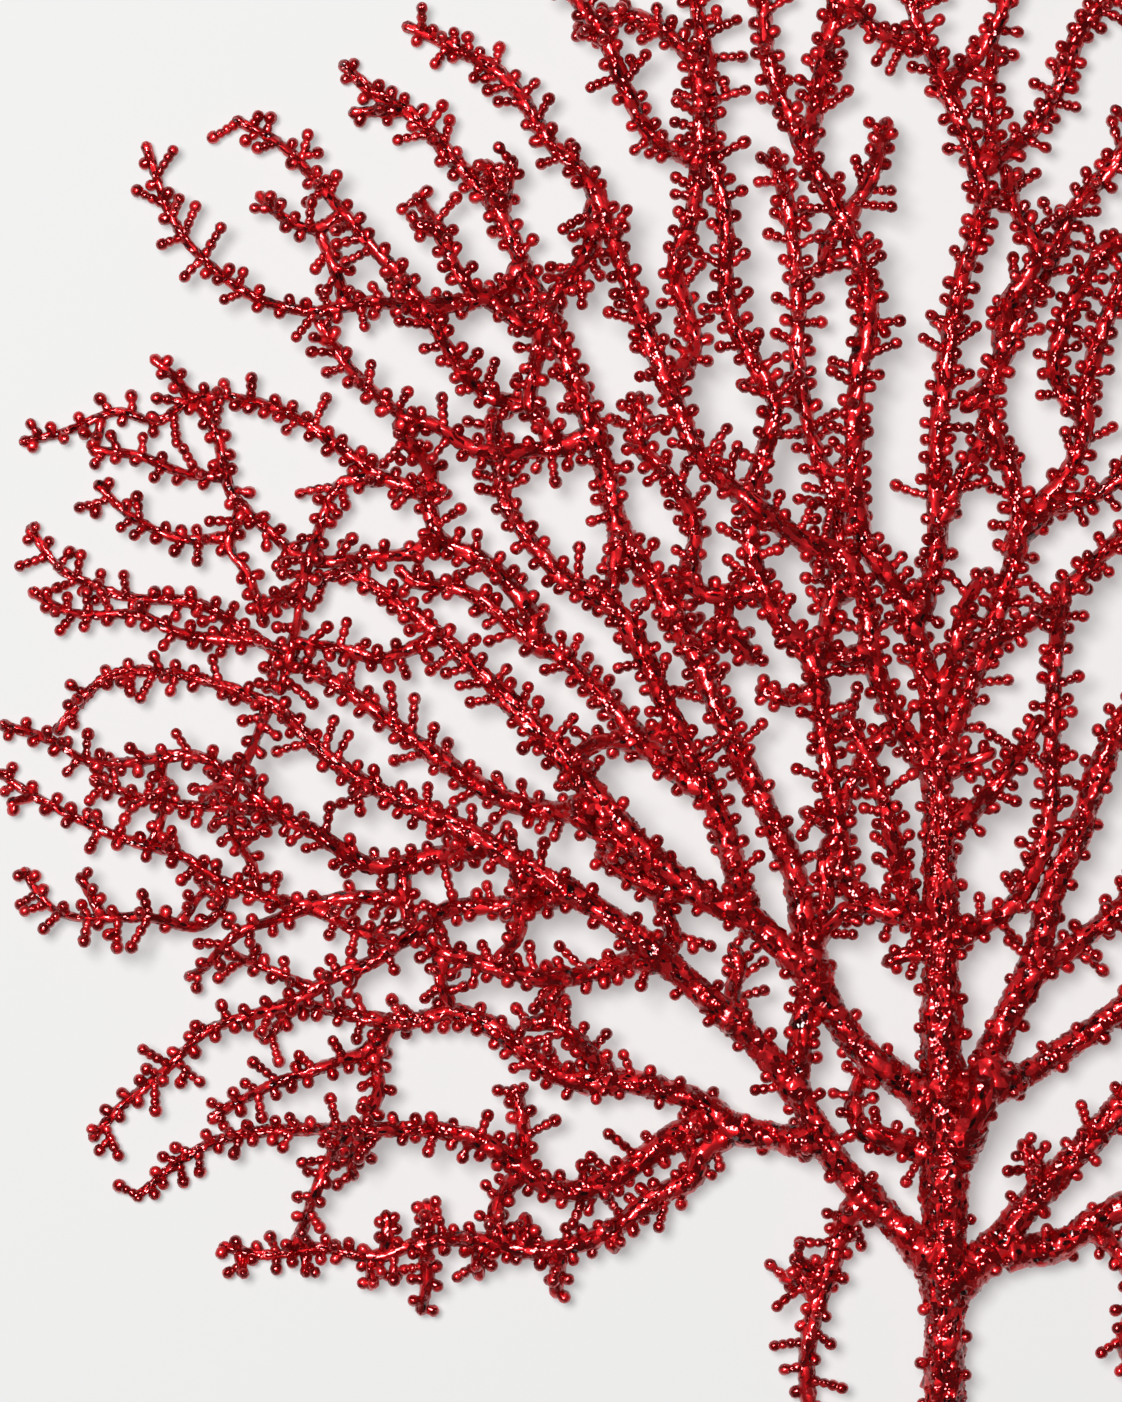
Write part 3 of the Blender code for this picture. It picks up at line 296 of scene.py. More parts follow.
    ("low_right_limb", "stem", "", (3.2, 2.3, 1.7, 1.2, 0.9),
     ((2, 43), (10, 50), (15.5, 57.5), (23, 65.5), (31, 74), (39, 83), (48, 90), (65, 101),
      (82, 113), (91, 117), (100, 124), (117, 131), (126, 137), (144, 142), (152, 147),
      (161, 150), (169, 149), (179, 154))),
    ("low_right_twig", "low_right_limb", "", (0.9, 0.9), ((19, 61.5), (18, 67), (15, 72))),
    ("low_right_side", "low_right_limb", "", (1.5, 1.2, 0.9),
     ((66, 102), (83, 99), (101, 105), (119, 102), (137, 104), (155, 99), (165, 95))),
    ("low_right_fork", "low_right_limb", "", (1.3, 1.1, 0.9),
     ((109, 128), (116, 124), (134, 123), (152, 117), (170, 121), (180, 120))),
    ("low_right_tip", "low_right_limb", "", (1.1, 0.9),
     ((135, 140), (141, 134), (149, 131), (165, 137), (184, 139))),
    ("bottom_right_branch", "low_right_limb", "", (2.2, 1.6, 1.2, 0.9),
     ((9, 49.5), (22, 50.5), (31, 56), (40, 60), (58, 60), (67, 62), (76, 67), (94, 70),
      (112, 79), (130, 78), (147, 86), (155, 86), (163, 81))),
    ("bottom_right_spray", "bottom_right_branch", "", (1.4, 1.1, 0.9),
     ((49, 61), (56, 54), (73, 49), (91, 55), (109, 52), (127, 54), (144, 55), (151, 50))),
    ("bottom_right_drop", "bottom_right_spray", "", (1.0, 0.9), ((82, 52), (87, 43), (94, 31))),
    ("bottom_right_rise", "bottom_right_branch", "", (1.2, 0.9),
     ((85, 69), (91, 77), (109, 88), (127, 91), (143, 94))),
    ("low_right_hanging", "bottom_right_branch", "", (1.2, 0.9),
     ((30, 55), (36, 48), (38, 40), (36, 31), (40, 22))),
    ("middle_right_limb", "stem", "", (3.0, 2.1, 1.6, 1.3, 1.1, 0.9),
     ((2, 67), (5.5, 77), (8.5, 87), (13, 97.5), (17.5, 106.5), (22, 124), (26, 132), (32, 149),
      (42, 166), (51, 184), (64, 201), (73, 219), (86, 236), (95, 254), (108, 270), (117, 286))),
    ("middle_right_upright", "middle_right_limb", "", (1.2, 1.0, 0.9),
     ((51, 183), (52, 193), (51, 206), (57, 219), (58, 237), (66, 254), (68, 272), (76, 288))),
    ("middle_right_twig", "middle_right_limb", "", (1.1, 0.9),
     ((73, 219), (91, 226), (107, 236), (122, 250), (139, 261))),
    ("middle_right_branch", "middle_right_limb", "", (1.9, 1.5, 1.2, 0.9),
     ((8, 82), (15, 84.5), (27.5, 92.5), (39, 101), (55, 111), (71, 123), (87, 134), (103, 146),
      (118, 160), (135, 170), (152, 178), (168, 187), (177, 193))),
    ("middle_right_side", "middle_right_branch", "", (1.2, 0.9),
     ((88, 135), (105, 137), (123, 147), (141, 155), (159, 163), (178, 170))),
    ("upper_right_branch", "middle_right_limb", "", (1.5, 1.3, 1.1, 0.9),
     ((18, 105), (24, 109.5), (38, 121), (50, 137), (65, 150), (78, 167), (94, 180), (107, 197),
      (124, 209), (139, 224), (156, 235))),
    ("upper_right_side", "upper_right_branch", "", (1.2, 0.9),
     ((66, 151), (83, 155), (99, 163), (116, 176), (134, 187), (150, 200), (167, 207))),
    ("right_inner", "stem", "", (1.5, 1.1, 0.9),
     ((2, 112), (13, 118.5), (20, 133.5), (21.3, 155), (22.5, 175), (24, 184))),
    ("right_twig", "stem", "", (1.2, 0.9), ((0, 133), (6.5, 139), (14.5, 149), (19, 157))),
)

# Small side shoots read from the picture, finer than the solids, each from the branch
# nearest to its first point, in the same millimetres
shootTable = (
    ((-22.5, 254.5), (-24, 250.5), (-23.8, 246)),
    ((9, 267), (9.3, 272), (9, 281), (10, 290)),
    ((0, 159), (1.5, 167), (4, 179), (9.5, 186.5)),
    ((8, 223.5), (3, 217.5)),
    ((0, 108), (-6.5, 109.5), (-12.7, 107.1)),
    ((-16, 149.5), (-11, 155.5)),
    ((-27.5, 111), (-23.5, 115), (-19, 119.5)),
    ((-21.5, 133), (-24, 127.5), (-23.5, 118)),
    ((-22, 135.5), (-29.3, 138)),
    ((-21.8, 181), (-16.5, 182.5)),
    ((-44.5, 174.5), (-42, 173), (-38, 167)),
    ((-89.5, 259), (-90.8, 265.5), (-92, 268.3)),
    ((-89, 258), (-86.3, 269)),
    ((-66, 193), (-66.5, 184), (-67, 181)),
    ((-108, 278), (-119.6, 277.8)),
    ((-92, 240), (-85, 235), (-82, 233)),
    ((-101.5, 254), (-107.2, 255.4)),
    ((-54, 155.5), (-60, 152.5)),
    ((-58, 128), (-68, 132.8), (-75, 137)),
    ((-128.5, 183.5), (-137, 177.5)),
    ((-134, 168), (-135, 165), (-133, 161)),
    ((-171.8, 210.3), (-170, 212), (-169, 217)),
    ((-85, 127), (-85, 114), (-90, 108)),
    ((-182, 140.5), (-188, 139)),
    ((-153, 115.5), (-149.5, 120.5), (-146.5, 122.5)),
    ((-168, 117), (-173.5, 125.3)),
    ((-141, 142), (-145, 143.5), (-149, 139.8)),
    ((-142, 131), (-136, 135), (-133, 137)),
    ((-77, 97), (-85, 95)),
    ((-57, 72), (-53, 73), (-49.5, 67)),
    ((-93, 51.8), (-93.5, 47), (-93, 43.5)),
    ((-78, 50.3), (-77.5, 45), (-78, 40)),
    ((-66, 54.5), (-66, 49)),
    ((-115, 48.3), (-115, 41.5)),
    ((-128, 49.5), (-128, 44)),
    ((-140.7, 49.3), (-140.7, 44)),
    ((-104, 51.5), (-103, 56), (-104, 60)),
    ((-84, 49.8), (-84, 57.5)),
    ((-112, 49), (-111.5, 54), (-112, 58)),
    ((-23, 44), (-27, 46), (-31, 49)),
    ((1.5, 144.5), (7, 148.5), (10, 150)),
)
shootRadii = (0.95, 0.8)

# A branch with a solid's name is part of that piece, and any other is part of the same
# piece as the branch that it grows from, but for these
otherPieces = {"left_middle_stay": "left_middle_branch", "limb_link": "middle_left_limb",
               "crown_inner_link": "crown_middle_fork"}


def distancesAlong(points):
    # The running sum of the steps between neighbouring points
    steps = np.linalg.norm(np.diff(points, axis=0), axis=1)
    return np.concatenate([[0], np.cumsum(steps)])


def distances(points, others):
    # From each point to each of the others
    return np.linalg.norm(points[:, None] - others[None], axis=2)


def smoothRoute(points, step):
    # Evenly spaced points on a Catmull-Rom curve through the given ones
    ends = np.vstack([2 * points[0] - points[1], points, 2 * points[-1] - points[-2]])
    share = np.linspace(0, 1, fan["curveSamples"], endpoint=False)[:, None]
    dense = []
    for a, b, c, d in zip(ends, ends[1:], ends[2:], ends[3:]):
        dense.append(0.5 * (2 * b + (c - a) * share + (2 * a - 5 * b + 4 * c - d) * share**2
                            + (3 * b - a - 3 * c + d) * share**3))
    dense = np.vstack(dense + [points[-1:]])
    along = distancesAlong(dense)
    spaced = np.linspace(0, along[-1], max(int(along[-1] / step), fan["leastSteps"]) + 1)
    return np.column_stack([np.interp(spaced, along, dense[:, k]) for k in range(2)])


def archHeight(route):
    # A shallow dome: one less the squared distance from its middle, times its rise
    off = (route - fan["archMiddle"]) / fan["archHalf"]
    return fan["archRise"] * np.clip(1 - (off**2).sum(axis=1), 0, 1)


def nearest(spine, point):
    return int(np.argmin(np.linalg.norm(spine["route"] - point, axis=1)))


def easeIn(share):
    # Three times the square less twice the cube, level at both ends
    share = np.clip(share, 0, 1)
    return share**2 * (3 - 2 * share)


def layBranch(name, piece, parent, target, radii, points, laid):
    # The branch's centre line and radii, as in the solids: it starts on its parent's
    # centre line, settles on the arch, and climbs over the branches laid before it
    joinLength = fan["joinLength"]
    points = np.array(points) * mm
    if parent:
        root = nearest(parent, points[0])
        points[0] = parent["route"][root]
    if target:
        end = nearest(target, points[-1])
        points[-1] = target["route"][end]
    route = smoothRoute(points, fan["sampleStep"])
    along = distancesAlong(route)
    length = along[-1]
    radius = np.interp(along / length, np.linspace(0, 1, len(radii)), radii) * mm
    sway = fan["swayMost"] * random.Random(name).random() if parent else 0
    need = np.maximum(radius, fan["beadRadius"]) + archHeight(route)
    need += sway * np.sin(math.pi * along / length)**2
    free = along > joinLength if parent else along >= 0
    if target:
        free &= along < length - joinLength
    for other in laid:
        apart = distances(route, other["route"])
        reach = radius[:, None] + other["radius"][None] + fan["passingGap"]
        over = other["height"][None] + np.sqrt(np.clip(reach**2 - apart**2, 0, None))
        over = np.where(apart < reach, over, 0).max(axis=1)
        need = np.where(free, np.maximum(need, over), need)
    climb = fan["climbSlope"] * np.abs(along[:, None] - along[None])
    height = (need[None] - climb).max(axis=1)
    if parent:
        start = parent["height"][root]
        height = start + (height - start) * easeIn(along / joinLength)
        radius[0] = min(radius[0], fan["rootShare"] * parent["radius"][root])
    if target:
        start = target["height"][end]
        height = start + (height - start) * easeIn((length - along) / joinLength)
        radius[-1] = min(radius[-1], fan["rootShare"] * target["radius"][end])
    line = np.column_stack([route, height])
    return {"name": name, "piece": piece, "route": route, "height": height, "line": line,
            "radius": radius, "along": along, "openTip": target is None,
            "parent": parent, "target": target, "root": line[0], "thick": radii[0] * mm}


def layAll():
    laid = []
    byName = {}
    for name, parent, target, radii, points in branchTable:
        piece = name if name in frame["nodes"] else otherPieces.get(name)
        piece = piece or byName[parent]["piece"]
        byName[name] = layBranch(name, piece, byName.get(parent), byName.get(target), radii,
                                 points, laid)
        laid.append(byName[name])
    return laid


def layShoots(laid):
    # Each small shoot starts from the branch nearest to its first point
    for number, points in enumerate(shootTable):
        start = np.array(points[0]) * mm
        gaps = [np.linalg.norm(spine["route"] - start, axis=1).min() for spine in laid]
        parent = laid[int(np.argmin(gaps))]
        laid.append(layBranch(f"shoot{number}", parent["piece"], parent, None, shootRadii,
                              points, laid))


# The slender branches' skin stands off the solids' tubes by a share of its depth, the
# most in the fan's middle, and the thick limbs' not at all. Twigs are spaced wider at its
# edges. The places are metres to the right of the stem's foot.
crowd = {
    "skinDepth": 0.75 * mm, "skinEnd": 3.0 * mm,
    "places": (-0.185, -0.130, -0.075, 0.030, 0.060),
    "skinShare": (0.08, 0.2, 1.0, 1.0, 1.0),
    "spacing": (1.5, 1.2, 1.0, 1.0, 1.15),
}


def thicken(laid):
    # Each radius plus the skin's depth, which fades to nothing over its last millimetre
    # and towards the fan's left rim
    for spine in laid:
        share = np.clip((crowd["skinEnd"] - spine["radius"]) / mm, 0, 1)
        share = share * np.interp(spine["route"][:, 0], crowd["places"], crowd["skinShare"])
        spine["radius"] = spine["radius"] + crowd["skinDepth"] * share


def tooNear(base, tip, other, spine, at):
    # Whether a twig of the solids would pass too near a branch, its own root left out
    points = other["line"]
    radius = other["radius"]
    if other is spine:
        away = np.abs(spine["along"] - spine["along"][at]) > 2 * solidTwig["length"][1]
        points, radius = points[away], radius[away]
    if not len(points):
        return False
    for share in solidTwig["clearAt"]:
        apart = np.linalg.norm(points - (base + (tip - base) * share), axis=1)
        if (apart - radius).min() < fan["beadRadius"] + solidTwig["clear"]:
            return True
    return False


def solidTwigs(spine, laid, grown):
    # The roots, directions and lengths of the twigs that the solids have, drawn as there
    draw = random.Random(spine["name"])
    points = spine["line"]
    longest = solidTwig["length"][1]
    side = draw.choice((-1, 1))
    at = draw.uniform(*solidTwig["firstStep"]) * solidTwig["step"]
    while at < spine["along"][-1] - 2 * fan["beadLength"]:
        k = int(np.searchsorted(spine["along"], at))
        heading = spine["route"][min(k + 1, len(points) - 1)] - spine["route"][k - 1]
        turn = math.atan2(heading[1], heading[0])
        turn += side * math.radians(draw.uniform(*solidTwig["angle"]))
        length = draw.uniform(*solidTwig["length"]) + spine["radius"][k]
        rise = draw.uniform(*solidTwig["rise"])
        reach = np.array([math.cos(turn), math.sin(turn), rise]) * length
        side = -side
        at += draw.uniform(*solidTwig["nextStep"]) * solidTwig["step"]
        tip = points[k] + reach
        near = any(tooNear(points[k], tip, other, spine, k) for other in laid)
        if not near and all(np.linalg.norm(tip - one) > longest for one in grown):
            grown.append(tip)
            yield k, reach


def scatter(i, j, salt):
    # An even random share from 0 to 1 for each pair of whole numbers: the far digits of
    # a sine of a weighted sum
    value = np.sin(i * 127.1 + j * 311.7 + salt * 74.7) * 43758.5453
    return value - np.floor(value)


def smoothNoise(a, b, around, salt):
    # Random values at whole numbers, eased from one to the next both ways. The second
    # direction closes on itself after the given number of cells.
    i = np.floor(a)
    j = np.floor(b)
    shareA = easeIn(a - i)
    shareB = easeIn(b - j)
    near = np.mod(j, around)
    far = np.mod(j + 1, around)
    low = scatter(i, near, salt) * (1 - shareB) + scatter(i, far, salt) * shareB
    high = scatter(i + 1, near, salt) * (1 - shareB) + scatter(i + 1, far, salt) * shareB
    return low * (1 - shareA) + high * shareA


cellMargin = 0.15    # how near a cell's centre may come to its edge


def nearestCell(a, b, around, cellLength, cellWidth, salt):
    # A strip of cells, each with one centre moved at random, closed after the given
    # number around. For each point: its nearest centre's cell, the way to that centre
    # along and across, its distance, and how much further the next centre is.
    found = np.zeros((4,) + np.broadcast_shapes(a.shape, b.shape))
    best = np.full(found.shape[1:], np.inf)
    second = best.copy()
    spread = 1 - 2 * cellMargin
    for stepA in (-1, 0, 1):
        for stepB in (-1, 0, 1):
            i = np.floor(a) + stepA
            row = np.floor(b) + stepB
            j = np.mod(row, around)
            offA = (a - i - cellMargin - spread * scatter(i, j, salt)) * cellLength
            offB = (b - row - cellMargin - spread * scatter(i, j, salt + 1)) * cellWidth
            apart = np.hypot(offA, offB)
            closer = apart < best
            second = np.where(closer, best, np.minimum(second, apart))
            best = np.where(closer, apart, best)
            fresh = np.broadcast_arrays(i, j, offA, offB)
            found = np.where(closer, np.stack(fresh), found)
    return (*found, best, second - best)


# The skin's relief, in millimetres. A facet's length and width each start from the first
# number, grow by the second for each millimetre of the branch's radius, and stay between
# the last two.
relief = {
    "thinShare": 0.32, "fullRadius": 3.0,
    "facetLength": (0.9, 0.5, 1.3, 2.8), "facetWidth": (0.0, 0.55, 0.75, 1.7),
    "facetTilt": (0.30, 0.42), "facetLevel": 0.22, "creaseDepth": 0.14, "creaseWidth": 0.3,
    "ridgeHeight": 0.30, "ridgeLength": 7.0, "ridgeWidth": 1.2,
    "noduleSpacing": 1.0, "noduleRadius": 0.46, "noduleHeight": 0.26, "noduleMissing": 0.4,
    "noduleThin": 0.55,
    "pitSpacing": (3.6, 1.7), "pitHalf": (0.95, 0.3), "pitDepth": 0.55, "pitShare": 0.34,
}


def skin(along, angle, radius, salt):
    # The skin's height over a plain tube, in millimetres. A foil-like facet is the way to
    # its centre, along and across, times its two tilts, plus its level, less a crease: a
    # bell curve of how much further the next centre is. Ridges along the flow are a half
    # less twice the noise's distance from a half. A nodule is one less the square of the
    # distance from its centre, and a pit a bell curve along and across. Thin branches
    # have a smaller share of it all. Also each facet's tone, from -1 to 1, and how deep
    # in a pit a point is, from 0 to 1.
    mean = float(radius.mean()) / mm
    share = min(max(mean / relief["fullRadius"], relief["thinShare"]), 1.0)
    a = along[:, None] / mm
    turn = angle[None, :] / (2 * math.pi)
    girth = 2 * math.pi * mean

    def cellsOf(length, width, fewest, own):
        around = max(round(girth / width), fewest)
        return nearestCell(a / length, turn * around, around, length, girth / around, salt + own)

    length, width = (min(max(base + rise * mean, least), most) for base, rise, least, most
                     in (relief["facetLength"], relief["facetWidth"]))
    i, j, offA, offB, best, further = cellsOf(length, width, 4, 0)
    tiltA = relief["facetTilt"][0] * (2 * scatter(i, j, salt + 2) - 1)
    tiltB = relief["facetTilt"][1] * (2 * scatter(i, j, salt + 3) - 1)
    level = 2 * scatter(i, j, salt + 4) - 1
    height = tiltA * offA + tiltB * offB + relief["facetLevel"] * level
    height -= relief["creaseDepth"] * np.exp(-(further / relief["creaseWidth"])**2)

    around = max(round(girth / relief["ridgeWidth"]), 3)
    flow = smoothNoise(a / relief["ridgeLength"], turn * around, around, salt + 5)
    height += relief["ridgeHeight"] * (1 - np.abs(2 * flow - 1) - 0.5)
    height *= share

    spacing = relief["noduleSpacing"]
    i, j, offA, offB, best, further = cellsOf(spacing, spacing, 5, 11)
    bump = np.clip(1 - (best / relief["noduleRadius"])**2, 0, 1)
    bump = bump * (scatter(i, j, salt + 12) > relief["noduleMissing"])
    thin = relief["noduleThin"]
    height += relief["noduleHeight"] * bump * (thin + (1 - thin) * share)

    i, j, offA, offB, best, further = cellsOf(*relief["pitSpacing"], 2, 21)
    pit = np.exp(-(offA / relief["pitHalf"][0])**2 - (offB / relief["pitHalf"][1])**2)
    pit = pit * (scatter(i, j, salt + 22) < relief["pitShare"])
    height -= relief["pitDepth"] * share * pit
    height -= height.mean()
    # The pit share also sets where the lacquer paints near-black shade
    return height, level, pit


def acrossAxes(lines):
    # At each point of a line: the level direction to its left, and the one square to
    # both that and the heading
    upright = 0.02    # a flatter part of the heading than this counts as none
    heading = np.gradient(lines, axis=-2)
    heading /= np.linalg.norm(heading, axis=-1, keepdims=True)
    flat = np.hypot(heading[..., 0], heading[..., 1])[..., None]
    side = np.stack([-heading[..., 1], heading[..., 0], 0 * heading[..., 0]], -1)
    side = np.where(flat > upright, side / np.maximum(flat, upright), (1.0, 0.0, 0.0))
    up = np.cross(heading, side)
    return side, up / np.linalg.norm(up, axis=-1, keepdims=True)


def sweep(lines, radii, angle):
    # Rings round a line: at each of its points, the radius times the cosine of the angle
    # to the left plus the radius times the sine upwards
    side, up = acrossAxes(lines)
    wave = np.cos(angle)[:, None] * side[..., None, :] + np.sin(angle)[:, None] * up[..., None, :]
    return lines[..., None, :] + radii[..., None] * wave


def newShell():
    lists = ("points", "quads", "triangles", "tone", "pit", "bead", "sheet")
    return {"count": 0, **{key: [] for key in lists}}


def addTubes(shell, rings, starts, ends, fields):
    # Puts closed tubes of one make into a shell: quads between neighbouring rings and a
    # fan of triangles from the last ring to the pole at each end. A field has a value or
    # a vector for each point of the rings.
    tubes, count, sides = rings.shape[:3]
    own = count * sides + 2
    points = np.concatenate([starts[:, None], rings.reshape(tubes, -1, 3), ends[:, None]], 1)
    ring = np.arange(count - 1)[:, None] * sides + 1
    here = np.arange(sides)
    after = (here + 1) % sides
    quads = np.stack([ring + here, ring + after, ring + after + sides, ring + here + sides], -1)
    last = own - 1 - sides
    fans = np.concatenate([
        np.stack([0 * here, after + 1, here + 1], -1),
        np.stack([0 * here + own - 1, here + last, after + last], -1)])
    shift = shell["count"] + own * np.arange(tubes)[:, None, None]
    shell["points"].append(points.reshape(-1, 3))
    shell["quads"].append((quads.reshape(1, -1, 4) + shift).reshape(-1, 4))
    shell["triangles"].append((fans[None] + shift).reshape(-1, 3))
    for key, values in fields.items():
        whole = values.reshape(tubes, count * sides, -1)
        shell[key].append(np.concatenate([whole[:, :1], whole, whole[:, -1:]], 1).ravel())
    shell["count"] += tubes * own


# How finely a branch is meshed, and how its width varies. Each row of steps is a radius at
# the root from which it holds, the step along and the sides, and each waver a length, an
# amount and its own seed.
dressing = {
    "stemSteps": (0.42 * mm, 56),
    "steps": ((2.6 * mm, 0.45 * mm, 30), (1.75 * mm, 0.5 * mm, 20), (0, 0.72 * mm, 10)),
    "leastSteps": 8, "kinkLength": 1.8 * mm, "tipGap": 0.12 * mm,
    "waver": ((6 * mm, 0.16, 31), (2.3 * mm, 0.12, 32)),
    "forkSwell": 0.2, "forkReach": 1.6,
    "flare": 0.4, "limbFlare": 0.62, "limbFrom": 2 * mm, "flareFade": (1.1, 0.6 * mm),
    "flareLimit": (0.8, 0.75), "flareReach": 2, "leastRadius": 0.5 * mm,
    "tipRelief": 0.15, "tipFade": 2 * mm, "deepest": 0.35, "sheetStep": 10,
}


def fineLine(spine, step, ending):
    # The centre line at small even steps, with its kinks rounded by a moving average
    length = spine["along"][-1]
    along = np.linspace(0, length - ending, max(int(length / step), dressing["leastSteps"]) + 1)
    spread = max(round(dressing["kinkLength"] / step), 1)
    weights = np.hanning(2 * spread + 3)[1:-1]
    weights /= weights.sum()
    line = np.column_stack([np.interp(along, spine["along"], column)
                            for column in spine["line"].T])
    before = 2 * line[0] - line[spread:0:-1]
    after = 2 * line[-1] - line[-2:-spread - 2:-1]
    padded = np.vstack([before, line, after])
    line = np.column_stack([np.convolve(column, weights, "valid") for column in padded.T])
    return along, line


def flared(line, radius, other, amount):
    # Wider towards the branch that it grows from, by an amount that fades over about its
    # own radius outside that branch, and kept inside it at the centre line
    apart = distances(line, other["line"])
    girth = other["radius"][apart.argmin(axis=1)]
    apart = apart.min(axis=1)
    outside = np.clip(apart - girth, 0, None)
    share, more = dressing["flareFade"]
    wide = radius * (1 + amount * np.exp(-outside / (share * radius + more)))
    inner, slope = dressing["flareLimit"]
    limit = np.maximum(girth * (inner + slope * apart / girth), dressing["leastRadius"])
    return np.where(apart < dressing["flareReach"] * girth, np.minimum(wide, limit), wide)


def dressBranch(shell, spine, laid):
    # A closed tube round the fine centre line, its radius wavering, swollen at forks and
    # flared at its root, with the skin's height added and a ball at its open end
    thick = spine["thick"]
    stem = spine["name"] == "stem"
    step, sides = dressing["stemSteps"] if stem else next(
        row[1:] for row in dressing["steps"] if thick > row[0])
    draw = random.Random(spine["name"] + " skin")
    salt = draw.uniform(0, 900)
    along, line = fineLine(spine, step, dressing["tipGap"] if spine["openTip"] else 0)
    radius = np.interp(along, spine["along"], spine["radius"])
    radius[:2] = radius[2]
    for length, amount, own in dressing["waver"]:
        radius *= 1 + amount * (smoothNoise(along / length, 0 * along, 1, salt + own) - 0.5)
    for child in laid:
        if child["parent"] is spine:
            away = np.linalg.norm(line - child["root"], axis=1)
            swell = dressing["forkSwell"] * min(child["thick"] / thick, 1)
            radius *= 1 + swell * np.exp(-(away / (dressing["forkReach"] * child["thick"]))**2)
    if spine["parent"]:
        amount = dressing["limbFlare" if thick > dressing["limbFrom"] else "flare"]
        radius = flared(line, radius, spine["parent"], amount)
    if spine["target"]:
        radius = flared(line, radius, spine["target"], dressing["flare"])
    angle = 2 * math.pi * np.arange(sides) / sides - math.pi / 2
    height, tone, pit = skin(along, angle, radius, salt)
    if spine["openTip"] and spine["parent"]:
        ball = draw.uniform(*bead["endSizes"])
        left = spine["along"][-1] - along
        cap = np.sqrt(np.clip(ball**2 - (left - ball)**2, 0, None))
        radius = np.where(left < ball, cap, np.maximum(radius, cap))
        fade = np.clip((left - 2 * ball) / dressing["tipFade"], 0, 1)[:, None]
        height = height * (dressing["tipRelief"] + (1 - dressing["tipRelief"]) * fade)
        pit = pit * fade
    across = np.maximum(radius[:, None] + height * mm, dressing["deepest"] * radius[:, None])
    rings = sweep(line, across, angle)
    tip = spine["line"][-1] if spine["openTip"] else line[-1]
    if stem:
        rings, tone, pit = cutFoot(rings, line, tone, pit)
        tip = line[-1] + (line[-1] - line[-2]) * 2
    arc = np.broadcast_to(angle * radius.mean(), tone.shape)
    far = np.broadcast_to(np.resize(along, len(tone))[:, None], tone.shape)
    sheet = np.stack([far, arc, 0 * arc + salt * dressing["sheetStep"] * mm], -1)
    fields = {"tone": tone, "pit": pit, "bead": 0 * pit, "sheet": sheet}
    addTubes(shell, rings[None], line[:1], tip[None], fields)


footCut = {"rings": (0.25, 0.5, 0.75, 0.96), "unevenness": 0.12 * mm}


def cutFoot(rings, line, tone, pit):
    # Four rings across the flat cut, each a share of the first, and bent in and out by
    # a fraction of a millimetre
    shares = np.array(footCut["rings"])[:, None, None]
    count = len(shares)
    cut = line[0] + (rings[0] - line[0]) * shares
    uneven = scatter(np.arange(count)[:, None], np.arange(cut.shape[1]), 3) - 0.5
    cut[..., 1] += footCut["unevenness"] * uneven
    rings[0, :, 1] = line[0, 1]
    more = np.zeros((count, cut.shape[1]))
    return (np.concatenate([cut, rings]), np.concatenate([more, tone]),
            np.concatenate([more, pit]))


# The beads, and how a string of them is ringed: places and radii as shares of a bead's
bead = {
    "sizes": (1.04 * mm, 1.24 * mm), "endSizes": (1.24 * mm, 1.5 * mm),
    "spacing": 1.8 * mm, "firstGap": 0.4 * mm, "neck": 0.68, "sides": 7,
    "rings": ((-0.55, 0.835), (0, 1), (0.55, 0.835)), "lastRing": (0.88, 0.475),
    "unevenness": 0.09,
}


def beadString(base, heading, bend, surface, length, draw):
    # A twig as beads spread evenly from the branch's surface to the twig's end, where
    # the last and largest is
    ending = draw.uniform(*bead["endSizes"])
    first = surface + bead["firstGap"]
    last = max(length - ending, first)
    count = int(round((last - first) / bead["spacing"])) + 1
    centres = np.linspace(first, last, count) if count > 1 else np.array([last])
    radii = [draw.uniform(*bead["sizes"]) for _ in range(count - 1)] + [ending]
    return {"base": base, "heading": heading, "bend": bend, "centres": centres,
            "radii": np.array(radii), "tone": draw.uniform(-1, 1)}


def placesOn(twig, far):
    # Out from the base along the heading, bent by the square of the distance
    far = np.asarray(far)[..., None]
    return twig["base"] + twig["heading"] * far + twig["bend"] * far**2


def isFree(twig, taken, leftOut, top):
    # Whether no bead of the twig runs into a branch or bead, those left out apart, and
    # none is under the floor's surface or over the top
    places = placesOn(twig, twig["centres"])
    radii = twig["radii"]
    if (places[:, 2] < twigs["lowest"] * radii).any() or (places[:, 2] + radii).max() > top:
        return False
    apart = distances(places, taken[0])
    apart -= radii[:, None] + taken[1][None] - twigs["touch"]
    apart[:, leftOut] = 1
    return apart.min() > 0


def takenBy(laid):
    # The points of all branches, their radii, their branches' numbers and how far along
    # each is. The beads are added to the same four.
    numbers = [np.full(len(spine["line"]), number) for number, spine in enumerate(laid)]
    columns = ([spine[key] for spine in laid] for key in ("line", "radius", "along"))
    points, radii, along = (np.concatenate(column) for column in columns)
    return [points, radii, np.concatenate(numbers), along]


def take(twig, taken):
    places = placesOn(twig, twig["centres"])
    none = np.zeros(len(places))
    for k, more in enumerate((places, twig["radii"], none - 1, none)):
        taken[k] = np.concatenate([taken[k], more])


